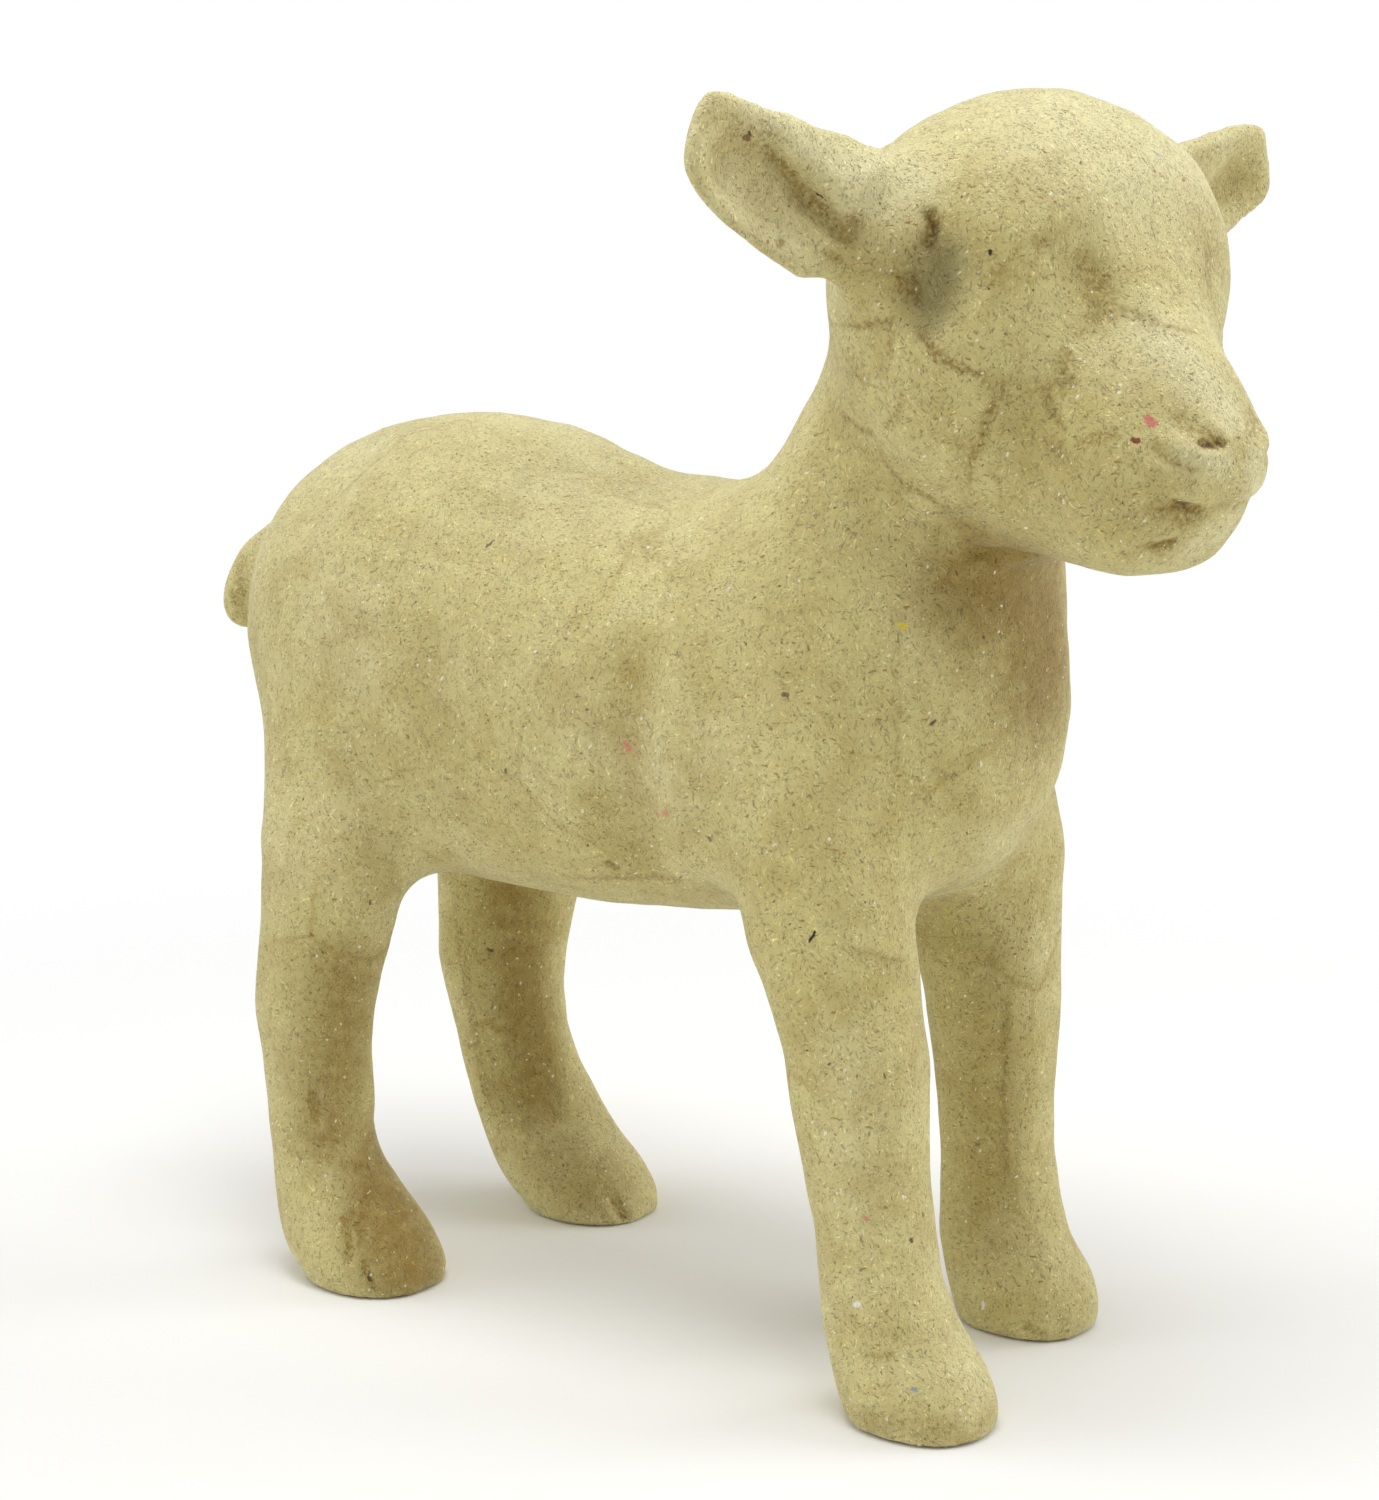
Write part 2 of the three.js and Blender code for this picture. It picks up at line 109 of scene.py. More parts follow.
def search_tree(*meshes: bpy.types.Mesh) -> BVHTree:
    """A search tree over the faces of some meshes."""
    with open_sheet(*meshes) as sheet:
        return BVHTree.FromBMesh(sheet)


@dataclass(frozen=True)
class PhotoView:
    """The photograph's viewpoint, in front of the lamb's right shoulder."""

    width: int = 1379
    height: int = 1500
    focal_pixels: float = 2850.0
    place: Point = (0.27393, -0.37336, 0.1765)
    azimuth: float = math.radians(36.0)
    elevation: float = math.radians(10.0)
    sensor: float = 36.0
    nearest: float = 0.01

    def back(self) -> Vector:
        """The direction from the lamb towards the camera."""
        level = math.cos(self.elevation)
        east = math.sin(self.azimuth) * level
        north = -math.cos(self.azimuth) * level
        return Vector((east, north, math.sin(self.elevation)))

    def right(self) -> Vector:
        """The direction that runs to the right in the picture."""
        return Vector((math.cos(self.azimuth), math.sin(self.azimuth), 0.0))

    def ray(self, pixel: Pixel) -> Vector:
        """The direction from the camera through a pixel.

        Args:
            pixel: Column and row in the photograph.

        Returns:
            A unit direction in the row frame.
        """
        back = self.back()
        right = self.right()
        up = back.cross(right)
        across = (pixel[0] - self.width / 2) / self.focal_pixels
        down = (pixel[1] - self.height / 2) / self.focal_pixels
        return (right * across - up * down - back).normalized()

    def add_camera(self) -> bpy.types.Object:
        """Make the scene's camera at this viewpoint.

        Returns:
            The camera object.
        """
        camera = link(bpy.data.objects.new("camera", bpy.data.cameras.new("camera")))
        camera.data.sensor_width = self.sensor
        camera.data.lens = self.focal_pixels / self.height * self.sensor
        camera.data.clip_start = self.nearest
        camera.location = self.place
        camera.rotation_mode = "QUATERNION"
        camera.rotation_quaternion = self.back().to_track_quat("Z", "Y")
        bpy.context.scene.camera = camera
        return camera


class Graph:
    """A short way to add shader nodes to a tree and join them."""

    mix_first: int = 6
    mix_second: int = 7
    mix_result: int = 2

    def __init__(self, tree: bpy.types.NodeTree) -> None:
        """Start on a tree, which is cleared.

        Args:
            tree: The node tree of a material or of a group.
        """
        self.tree = tree
        self.tree.nodes.clear()

    def plug(self, socket: Socket, value: Plug) -> None:
        """Give a socket a value, or a link where the value is itself a socket.

        Args:
            socket: The input to set.
            value: A number, a tuple or another node's output.
        """
        if isinstance(value, bpy.types.NodeSocket):
            self.tree.links.new(value, socket)
        elif isinstance(value, tuple) and socket.type == "RGBA":
            socket.default_value = (*value, 1.0)
        else:
            socket.default_value = value

    def node(self, kind: str, plugs: Optional[Plugs] = None, **settings: object) -> bpy.types.Node:
        """Add a node.

        Args:
            kind: The node's type name.
            plugs: Inputs by name or number.
            settings: Properties of the node by name.

        Returns:
            The new node.
        """
        made = self.tree.nodes.new(kind)
        for name, value in settings.items():
            setattr(made, name, value)
        for key, value in (plugs or {}).items():
            self.plug(made.inputs[key], value)
        return made

    def maths(self, operation: str, first: Plug, second: Plug) -> Socket:
        """The result of a Math node on two values."""
        return self.node("ShaderNodeMath", {0: first, 1: second}, operation=operation).outputs[0]

    def times(self, first: Plug, second: Plug) -> Socket:
        """The product of two values."""
        return self.maths("MULTIPLY", first, second)

    def plus(self, first: Plug, second: Plug) -> Socket:
        """The sum of two values."""
        return self.maths("ADD", first, second)

    def vector(self, operation: str, first: Plug, second: Plug, result: str = "Vector") -> Socket:
        """A result of a Vector Math node."""
        plugs = {0: first, 1: second}
        return self.node("ShaderNodeVectorMath", plugs, operation=operation).outputs[result]

    def measure(self, operation: str, first: Plug, second: Plug) -> Socket:
        """The number that a Vector Math node finds, such as a distance."""
        return self.vector(operation, first, second, "Value")

    def scaled(self, vector: Plug, factor: Plug) -> Socket:
        """A vector made longer by a factor."""
        plugs = {0: vector, "Scale": factor}
        return self.node("ShaderNodeVectorMath", plugs, operation="SCALE").outputs["Vector"]

    def rise(self, value: Plug, low: Plug, high: Plug) -> Socket:
        """A smooth rise from 0 to 1 as a value goes from low to high; low may be the larger."""
        plugs = {0: value, 1: low, 2: high}
        return self.node("ShaderNodeMapRange", plugs, interpolation_type="SMOOTHSTEP").outputs[0]

    def mix(self, share: Plug, first: Plug, second: Plug) -> Socket:
        """A colour part of the way from first to second."""
        plugs = {0: share, self.mix_first: first, self.mix_second: second}
        return self.node("ShaderNodeMix", plugs, data_type="RGBA").outputs[self.mix_result]

    def tinted(self, colour: Plug, mask: Plug, strength: float, tint: Plug) -> Socket:
        """A colour taken towards a tint where a mask is set."""
        return self.mix(self.times(mask, strength), colour, tint)

    def noise(self, place: Plug, scale: Plug, detail: float) -> bpy.types.Node:
        """Soft noise with the given number of lumps per unit of length."""
        return self.node("ShaderNodeTexNoise", {"Vector": place, "Scale": scale, "Detail": detail})

    def cloud(self, place: Plug, scale: Plug, detail: float = 2.0) -> Socket:
        """Soft noise from 0 to 1, as one number."""
        return self.noise(place, scale, detail).outputs[0]

    def shaken(self, place: Plug, scale: Plug, amount: Plug, detail: float = 2.0) -> Socket:
        """Places moved a little to and fro by soft noise."""
        drift = self.noise(place, scale, detail).outputs["Color"]
        centred = self.vector("SUBTRACT", drift, (0.5, 0.5, 0.5))
        return self.vector("ADD", place, self.scaled(centred, amount))

    def layer(self, name: str) -> Socket:
        """The number that the mesh holds at each corner under a name."""
        return self.node("ShaderNodeAttribute", attribute_name=name).outputs["Fac"]

    def outward(self) -> Socket:
        """The direction in which the surface faces."""
        return self.node("ShaderNodeNewGeometry").outputs["Normal"]

    def place_in_mm(self) -> Socket:
        """The place on the object, in millimetres."""
        return self.scaled(self.node("ShaderNodeTexCoord").outputs["Object"], 1.0 / MM)

    def group(self, tree: bpy.types.NodeTree, plugs: Plugs) -> bpy.types.Node:
        """Place a node group with its own values."""
        return self.node("ShaderNodeGroup", plugs, node_tree=tree)

    def relief(self, height: Plug) -> Socket:
        """Surface directions bent by a relief in millimetres."""
        plugs = {"Strength": 1.0, "Distance": MM, "Height": height}
        return self.node("ShaderNodeBump", plugs).outputs[0]

    def end(self, shader: bpy.types.Node, kind: str = "Material") -> None:
        """End the tree with a shader's result."""
        self.plug(self.node(f"ShaderNodeOutput{kind}").inputs["Surface"], shader.outputs[0])


def new_material(mesh: bpy.types.Mesh, name: str) -> Graph:
    """Give a mesh a new material in place of any that it has.

    Args:
        mesh: The mesh to dress.
        name: The material's name.

    Returns:
        The material's empty graph.
    """
    material = bpy.data.materials.new(name)
    material.use_nodes = True
    mesh.materials.clear()
    mesh.materials.append(material)
    return Graph(material.node_tree)


@dataclass(frozen=True)
class Patches:
    """Soft patches of another colour: size in millimetres, range of noise that shows them, strength."""

    size: float
    noise_range: tuple[float, float]
    strength: float
    tint: Colour


@dataclass(frozen=True)
class Grains:
    """A kind of grain or fibre strewn through the paper. Spacing and size are millimetres."""

    turn: Point
    stretch: float
    spacing: float
    size: float
    share: float
    tint: Colour = (0.0, 0.0, 0.0)
    strength: float = 0.8


class Effects:
    """The shader node groups that the paper and the board share. Lengths in them are millimetres."""

    least_grain: float = 0.45
    grain_range: float = 0.9
    grain_core: float = 0.5
    mark_core: float = 0.4
    bends_in_sheet: float = 2.2
    gaps_in_sheet: float = 1.7
    gap_range: tuple[float, float] = (0.42, 0.62)

    def __init__(self) -> None:
        """Build every group once."""
        self.scatter = self.build_scatter()
        self.blotch = self.build_blotch()
        self.mark = self.build_mark()
        self.laps = self.build_laps()

    @staticmethod
    def start(
        name: str, inputs: dict[str, str], outputs: tuple[str, ...]
    ) -> tuple[Graph, bpy.types.NodeOutputs, bpy.types.NodeInputs]:
        """Make an empty group with its sockets.

        Args:
            name: The group's name.
            inputs: Socket type, Float or Vector, by input name.
            outputs: Names of the Float outputs.

        Returns:
            The group's graph, what it is given and what it results in.
        """
        tree = bpy.data.node_groups.new(name, "ShaderNodeTree")
        for label, kind in inputs.items():
            tree.interface.new_socket(label, in_out="INPUT", socket_type=f"NodeSocket{kind}")
        for label in outputs:
            tree.interface.new_socket(label, in_out="OUTPUT", socket_type="NodeSocketFloat")
        graph = Graph(tree)
        return graph, graph.node("NodeGroupInput").outputs, graph.node("NodeGroupOutput").inputs

    def build_scatter(self) -> bpy.types.NodeTree:
        """Separate grains or short fibres of many sizes strewn through the paper.

        Returns:
            The group: Mask is one on a grain, and Tone differs from grain to grain.
        """
        inputs = {"Place": "Vector", "Turn": "Vector", "Stretch": "Float", "Spacing": "Float"}
        inputs |= {"Size": "Float", "Share": "Float"}
        graph, given, result = self.start("strewn grains", inputs, ("Mask", "Tone"))
        per_mm = graph.maths("DIVIDE", 1.0, given["Spacing"])
        turn = {"Vector": given["Place"], "Rotation": given["Turn"]}
        turned = graph.node("ShaderNodeVectorRotate", turn, rotation_type="EULER_XYZ").outputs[0]
        parts = graph.node("ShaderNodeSeparateXYZ", {0: turned})
        shorter = graph.maths("DIVIDE", parts.outputs[0], given["Stretch"])
        axes = {0: shorter, 1: parts.outputs[1], 2: parts.outputs[2]}
        squeezed = graph.node("ShaderNodeCombineXYZ", axes).outputs[0]
        cells = graph.node("ShaderNodeTexVoronoi", {"Vector": squeezed, "Scale": per_mm})
        dice = graph.node("ShaderNodeSeparateColor", {0: cells.outputs["Color"]})
        extra = graph.times(dice.outputs[2], self.grain_range)
        growth = graph.plus(self.least_grain, extra)
        radius = graph.times(graph.times(given["Size"], per_mm), growth)
        core = graph.times(radius, self.grain_core)
        grain = graph.rise(cells.outputs["Distance"], radius, core)
        chosen = graph.maths("LESS_THAN", dice.outputs[0], given["Share"])
        graph.plug(result["Mask"], graph.times(grain, chosen))
        graph.plug(result["Tone"], dice.outputs[1])
        return graph.tree

    def build_blotch(self) -> bpy.types.NodeTree:
        """Soft uneven patches, such as damp stains and thinner pulp.

        Returns:
            The group: Mask runs from 0 to 1 over patches of the given size.
        """
        inputs = {"Place": "Vector", "Size": "Float", "Low": "Float", "High": "Float"}
        graph, given, result = self.start("uneven patches", inputs, ("Mask",))
        per_mm = graph.maths("DIVIDE", 1.0, given["Size"])
        patches = graph.cloud(given["Place"], per_mm, detail=4.0)
        mask = graph.rise(patches, given["Low"], given["High"])
        graph.plug(result["Mask"], mask)
        return graph.tree

    def build_mark(self) -> bpy.types.NodeTree:
        """One speck or splinter that runs from one place to another.

        Returns:
            The group: Mask is one along the middle of the mark and nought outside its radius.
        """
        inputs = {"Place": "Vector", "From": "Vector", "To": "Vector", "Radius": "Float"}
        graph, given, result = self.start("one mark", inputs, ("Mask",))
        along = graph.vector("SUBTRACT", given["To"], given["From"])
        offset = graph.vector("SUBTRACT", given["Place"], given["From"])
        length = graph.maths("MAXIMUM", graph.measure("DOT_PRODUCT", along, along), SAME_PLACE)
        reach = graph.maths("DIVIDE", graph.measure("DOT_PRODUCT", offset, along), length)
        held = graph.maths("MINIMUM", graph.maths("MAXIMUM", reach, 0.0), 1.0)
        apart = graph.measure("DISTANCE", offset, graph.scaled(along, held))
        core = graph.times(given["Radius"], self.mark_core)
        graph.plug(result["Mask"], graph.rise(apart, given["Radius"], core))
        return graph.tree

    def build_laps(self) -> bpy.types.NodeTree:
        """Thin lines where one pasted sheet of paper ends on the next.

        Returns:
            The group: Line is one on a sheet's edge, and Sheet differs from sheet to sheet.
        """
        inputs = {"Place": "Vector", "Size": "Float", "Width": "Float", "Wander": "Float"}
        graph, given, result = self.start("sheet edges", inputs, ("Line", "Sheet"))
        place = given["Place"]
        per_mm = graph.maths("DIVIDE", 1.0, given["Size"])
        bends = graph.times(per_mm, self.bends_in_sheet)
        moved = graph.shaken(place, bends, given["Wander"], detail=4.0)
        plugs = {"Vector": moved, "Scale": per_mm}
        border = graph.node("ShaderNodeTexVoronoi", plugs, feature="DISTANCE_TO_EDGE")
        cell = graph.node("ShaderNodeTexVoronoi", plugs).outputs["Color"]
        reach = graph.times(given["Width"], per_mm)
        gaps = graph.cloud(place, graph.times(per_mm, self.gaps_in_sheet))
        line = graph.rise(border.outputs["Distance"], reach, 0.0)
        whole = graph.rise(gaps, *self.gap_range)
        graph.plug(result["Line"], graph.times(line, whole))
        tone = graph.node("ShaderNodeSeparateColor", {0: cell}).outputs[0]
        graph.plug(result["Sheet"], tone)
        return graph.tree


@dataclass(frozen=True)
class Dressing:
    """A material in the making: its graph, the shared groups and the place on the piece in millimetres."""

    graph: Graph
    effects: Effects
    place: Socket

    def shaken(self, per_mm: float, amount: float) -> "Dressing":
        """The same material with its places moved a little to and fro."""
        return replace(self, place=self.graph.shaken(self.place, per_mm, amount))

    def cloud(self, per_mm: float, detail: float) -> Socket:
        """Soft noise from 0 to 1."""
        return self.graph.cloud(self.place, per_mm, detail)

    def patched(self, patches: Patches) -> Socket:
        """The mask of some patches."""
        low, high = patches.noise_range
        plugs = {"Place": self.place, "Size": patches.size, "Low": low, "High": high}
        return self.graph.group(self.effects.blotch, plugs).outputs["Mask"]

    def strewn(self, grains: Grains) -> bpy.types.Node:
        """Strew a kind of grain."""
        plugs = {"Place": self.place, "Turn": grains.turn, "Stretch": grains.stretch}
        plugs |= {"Spacing": grains.spacing, "Size": grains.size, "Share": grains.share}
        return self.graph.group(self.effects.scatter, plugs)


class Tool(Enum):
    """How a stroke moves the skin across its path."""

    PRESS = "a soft hollow, or a swelling where the depth is negative"
    CREASE = "a narrow valley between two low banks"
    LAP = "the edge of a pasted sheet: one side of the path stands proud"


class Mirror(Enum):
    """Where a stroke is repeated on the side that the photograph hides."""

    NONE = "nowhere"
    BODY = "across the middle plane of the trunk"
    HEAD = "across the middle plane of the turned head"


class GrimeAndLight(Enum):
    """What a stroke leaves on the skin, soiling, painted shade and painted highlights, by the name of the
    layer that keeps it.
    """

    # Paste stains, and painted shade in the narrow creases and slits of the face and ear
    PASTE = "paste_and_painted_shade"
    SMUDGE = "grey_smudge"
    # Painted highlights on the lit places
    PAINTED_HIGHLIGHT = "painted_highlight"
    # Browning, and painted shade spread over the throat, the far legs and broad hollows
    TAN = "smooth_browning_and_painted_shade"


@dataclass(frozen=True)
class Stroke:
    """One pass of a modelling tool along a path drawn on the photograph. Lengths are millimetres."""

    tool: Tool
    path: Path
    radius: float
    depth: float
    # Strength of the tint it leaves: stains and soiling, painted shade, or a painted highlight
    dirt_and_painted_light: float = 0.0
    mirror: Mirror = Mirror.NONE
    grime_and_light: GrimeAndLight = GrimeAndLight.PASTE
    bank: float = 0.3
    bank_place: float = 1.5
    crease_reach: float = 2.5
    lap_step: float = 0.9
    line_width: float = 1.6
    broad_radius: float = 5.0

    def narrow(self) -> bool:
        """Whether the stroke needs a finer mesh along its path."""
        return self.tool is not Tool.PRESS

    def reach(self) -> float:
        """How far from its path the stroke moves the skin."""
        return self.radius * (self.crease_reach if self.tool is Tool.CREASE else 1.0)

    def leaves(self) -> GrimeAndLight:
        """What the stroke leaves: paste and painted shade spread over a broad path go to the smooth
        browning layer, which holds painted shade as well.
        """
        spread = self.grime_and_light is GrimeAndLight.PASTE and self.radius > self.broad_radius and not self.narrow()
        return GrimeAndLight.TAN if spread else self.grime_and_light

    def height(self, across: np.ndarray) -> np.ndarray:
        """How far the skin moves outward.

        Args:
            across: Distance from the path, negative on its right-hand side.

        Returns:
            The outward move at each distance.
        """
        hump = bell(across, self.radius)
        if self.tool is Tool.PRESS:
            return -self.depth * hump
        if self.tool is Tool.CREASE:
            banks = bell(np.abs(across) - self.bank_place * self.radius, self.radius)
            return self.depth * (self.bank * banks - hump)
        return self.depth * hump * smooth_step(0.5 + across / self.lap_step)

    def stain_and_painted_light(self, across: np.ndarray) -> np.ndarray:
        """How much the stroke tints the skin at each distance from the path: stains, soiling, painted shade
        or a painted highlight.
        """
        width = min(self.radius, self.line_width) if self.narrow() else self.radius
        return self.dirt_and_painted_light * bell(across, width)


def press(
    path: Path, radius: float, depth: float, dirt_and_painted_light: float = 0.0, mirror: Mirror = Mirror.NONE
) -> Stroke:
    """A soft hollow, or a swelling where the depth is negative."""
    return Stroke(Tool.PRESS, path, radius, depth, dirt_and_painted_light, mirror)


def crease(path: Path, radius: float, depth: float, dirt_and_painted_light: float, mirror: Mirror = Mirror.NONE) -> Stroke:
    """A narrow valley between two low banks."""
    return Stroke(Tool.CREASE, path, radius, depth, dirt_and_painted_light, mirror)


def lap(path: Path, radius: float, depth: float, dirt_and_painted_light: float) -> Stroke:
    """The edge of a pasted sheet."""
    return Stroke(Tool.LAP, path, radius, depth, dirt_and_painted_light)


def stain_and_painted_light(
    path: Path, radius: float, dirt_and_painted_light: float, grime_and_light: GrimeAndLight = GrimeAndLight.PASTE, mirror: Mirror = Mirror.NONE
) -> Stroke:
    """A place that is stained or smudged, or that takes painted shade or a painted highlight, but keeps its
    shape.
    """
    return Stroke(Tool.PRESS, path, radius, 0.0, dirt_and_painted_light, mirror, grime_and_light)


EAR_STROKES = (
    # The deep fold under the rolled upper edge, the roll itself and the shallow cup below the fold, with
    # painted shade along the fold and under the roll
    crease(
        ((756, 132), (768, 152), (786, 172), (806, 195), (822, 211), (836, 226), (848, 236)),
        2.4, 1.5, 0.65,
    ),
    stain_and_painted_light(((800, 196), (822, 213), (848, 238)), 2.6, 0.5),
    press(((734, 172), (764, 204), (792, 230)), 7.5, 1.6, 0.0, Mirror.HEAD),
    press(((786, 136), (820, 166), (850, 196)), 6.0, -1.4),
    press(((846, 232), (852, 224)), 3.0, 0.8, 0.5),
    # The full root of the ear, the dent in front of it and the stains round both
    press(((864, 184), (886, 194), (892, 220)), 10.0, -1.4),
    press(((868, 166), (886, 160), (904, 158)), 7.0, -1.6),
    press(((936, 232), (936, 270), (925, 305)), 8.0, 2.0, 0.0, Mirror.HEAD),
    stain_and_painted_light(((932, 262), (934, 286), (924, 304)), 7.5, 0.75, GrimeAndLight.SMUDGE),
    stain_and_painted_light(((900, 284), (908, 290)), 3.0, 0.8),
    crease(((926, 205), (934, 225), (930, 242), (926, 256)), 1.7, 0.9, 1.2),
    crease(((908, 268), (916, 285), (918, 300), (922, 312)), 1.4, 0.6, 0.7),
    crease(((820, 250), (835, 256), (842, 264)), 1.2, 0.3, 0.6),
    crease(((776, 248), (786, 240)), 1.2, 0.3, 0.7),
    stain_and_painted_light(((730, 125), (765, 135)), 5.0, 0.35),
    stain_and_painted_light(((850, 245), (880, 262)), 7.0, 0.35),
)

FACE_STROKES = (
    # The hollow under the near brow, the full far brow, and the dent of the eye with its stains
    press(((985, 285), (1040, 285), (1085, 288)), 11.0, 1.0),
    press(((1192, 200), (1206, 240), (1208, 275)), 17.0, -1.3),
    press(((1090, 268), (1100, 292)), 8.0, 0.7),
    crease(((1086, 246), (1092, 262), (1100, 274), (1110, 284)), 1.3, 0.2, 0.4),
    press(((1088, 256), (1098, 272), (1106, 281)), 2.6, 0.3, 0.55, Mirror.HEAD),
    lap(((1110, 303), (1136, 312), (1160, 324), (1184, 330), (1208, 336)), 5.0, 0.2, 0.3),
    stain_and_painted_light(((1090, 264), (1104, 284), (1112, 292)), 3.6, 0.45),
    stain_and_painted_light(((1100, 300), (1104, 306)), 2.4, 0.5),
    stain_and_painted_light(((1108, 303), (1140, 313), (1162, 326)), 2.4, 0.35),
    stain_and_painted_light(((1076, 330), (1088, 325), (1096, 318)), 2.8, 0.4),
    stain_and_painted_light(((1036, 238), (1052, 242)), 2.6, 0.4),
    stain_and_painted_light(((1000, 190), (985, 185)), 5.0, 0.25),
    # The flat side of the nose
    press(((1120, 340), (1148, 388), (1165, 420)), 10.0, 0.8, 0.0, Mirror.HEAD),
    # The nostril and the fold round its wing, with painted shade in the slit, in the hollow above it and
    # under the wing
    press(((1204, 445), (1218, 445)), 3.4, -0.9, 0.0, Mirror.HEAD),
    crease(((1194, 440), (1206, 444), (1220, 443), (1232, 441)), 1.4, 0.6, 1.25),
    press(((1186, 420), (1198, 430), (1212, 440)), 3.2, 0.4, 0.5, Mirror.HEAD),
    press(((1172, 440), (1185, 452), (1205, 458)), 3.6, -0.5, 0.0, Mirror.HEAD),
    crease(((1150, 436), (1156, 450), (1170, 461), (1190, 468), (1205, 470)), 1.6, 0.5, 0.4, Mirror.HEAD),
    # The mouth over the chin, with painted shade in the mouth, below it, behind its corner and in the
    # chin's folds
    crease(((1164, 499), (1184, 508), (1210, 512)), 1.5, 0.5, 0.6, Mirror.HEAD),
    crease(((1168, 502), (1184, 508), (1206, 512)), 1.5, 0.1, 1.2),
    crease(((1204, 512), (1222, 507), (1240, 502)), 1.3, 0.25, 0.3, Mirror.HEAD),
    stain_and_painted_light(((1164, 512), (1188, 518)), 3.6, 0.55),
    press(((1172, 531), (1200, 532), (1218, 525)), 6.0, -0.5, 0.0, Mirror.HEAD),
    press(((1118, 505), (1148, 515), (1158, 530)), 7.0, 0.9, 0.2, Mirror.HEAD),
    crease(((1143, 541), (1150, 548), (1164, 544), (1182, 540)), 1.2, 0.4, 0.9),
    crease(((1150, 548), (1164, 557)), 1.0, 0.2, 0.4),
    # The line where the jaw meets the throat, darkened with painted shade
    crease(((960, 548), (985, 553), (1010, 551), (1030, 556), (1045, 553)), 2.0, 0.8, 0.8, Mirror.HEAD),
    # The full upper lip, the flat front of the nose and the tip under it
    press(((1192, 486), (1228, 488)), 5.0, -0.6, 0.0, Mirror.HEAD),
    press(((1238, 405), (1246, 425)), 8.0, 0.5),
    press(((1244, 470), (1248, 484)), 5.0, -0.6),
)

PAINTED_HIGHLIGHT_STROKES = (
    # Painted highlights on the lit places: the ear's rolled edge, root and cup, the brow, nose, lip and
    # chin
    stain_and_painted_light(((757, 108), (800, 138), (850, 172)), 5.0, 0.6, GrimeAndLight.PAINTED_HIGHLIGHT),
    stain_and_painted_light(((866, 186), (896, 190), (912, 184)), 9.0, 0.55, GrimeAndLight.PAINTED_HIGHLIGHT),
    stain_and_painted_light(((744, 190), (790, 236)), 7.0, 0.35, GrimeAndLight.PAINTED_HIGHLIGHT),
    stain_and_painted_light(((1050, 120), (1120, 165)), 18.0, 0.35, GrimeAndLight.PAINTED_HIGHLIGHT, Mirror.HEAD),
    stain_and_painted_light(((1160, 335), (1200, 380), (1225, 408)), 7.0, 0.6, GrimeAndLight.PAINTED_HIGHLIGHT),
    stain_and_painted_light(((1186, 456), (1225, 464)), 3.0, 0.4, GrimeAndLight.PAINTED_HIGHLIGHT),
    stain_and_painted_light(((1248, 466), (1252, 488)), 4.0, 0.5, GrimeAndLight.PAINTED_HIGHLIGHT),
    stain_and_painted_light(((1196, 545), (1232, 520)), 6.0, 0.3, GrimeAndLight.PAINTED_HIGHLIGHT),
)

SHEET_STROKES = (
    # Edges of the sheets pasted over the cheek and neck
    lap(((835, 408), (850, 420), (864, 431), (880, 434)), 5.0, 0.2, 0.6),
    lap(((880, 434), (898, 416), (904, 385)), 4.0, 0.15, 0.45),
    lap(((880, 438), (884, 460), (905, 485), (930, 497), (950, 510), (976, 522)), 7.0, 0.25, 0.65),
    lap(((903, 318), (925, 338), (938, 358), (972, 372), (1002, 385)), 7.0, 0.25, 0.65),
    lap(
        ((1002, 382), (996, 404), (986, 418), (984, 440), (972, 454), (968, 478), (976, 500)),
        6.0, 0.22, 0.6,
    ),
    lap(((1066, 342), (1064, 366), (1066, 384)), 6.0, 0.2, 0.65),
    lap(((1066, 380), (1048, 386), (1050, 406), (1060, 424), (1074, 436)), 5.0, 0.2, 0.55),
    lap(((1130, 432), (1110, 434), (1090, 440), (1070, 450)), 6.0, 0.2, 0.5),
    lap(((832, 322), (860, 326), (904, 320)), 6.0, 0.2, 0.55),
    lap(((889, 322), (890, 342), (889, 362)), 5.0, 0.15, 0.6),
    # Stains on those edges and near them
    stain_and_painted_light(((1064, 366), (1064, 382)), 3.2, 0.5),
    stain_and_painted_light(((1048, 386), (1048, 402)), 2.4, 0.4),
    stain_and_painted_light(((1054, 446), (1060, 454)), 2.8, 0.6),
    stain_and_painted_light(((1060, 456), (1076, 470)), 4.0, 0.25),
    stain_and_painted_light(((922, 334), (938, 352)), 3.0, 0.5),
    stain_and_painted_light(((952, 510), (974, 530)), 4.5, 0.45),
    stain_and_painted_light(((964, 450), (968, 498)), 3.6, 0.35),
    stain_and_painted_light(((850, 362), (858, 374)), 3.4, 0.4),
    stain_and_painted_light(((1000, 385), (1004, 398)), 3.0, 0.45),
    stain_and_painted_light(((982, 262), (992, 272)), 4.0, 0.4),
    stain_and_painted_light(((900, 500), (915, 515)), 6.0, 0.25),
    # Edges down the chest and along the belly, and the tail's brown side
    lap(((897, 570), (898, 640), (896, 720), (899, 800)), 8.0, 0.22, 0.3),
    lap(((556, 876), (600, 878), (660, 876), (700, 882)), 6.0, 0.3, 0.5),
    crease(((605, 860), (612, 866), (622, 869)), 1.3, 0.3, 0.7),
    stain_and_painted_light(((240, 556), (238, 600)), 3.5, 0.4),
)

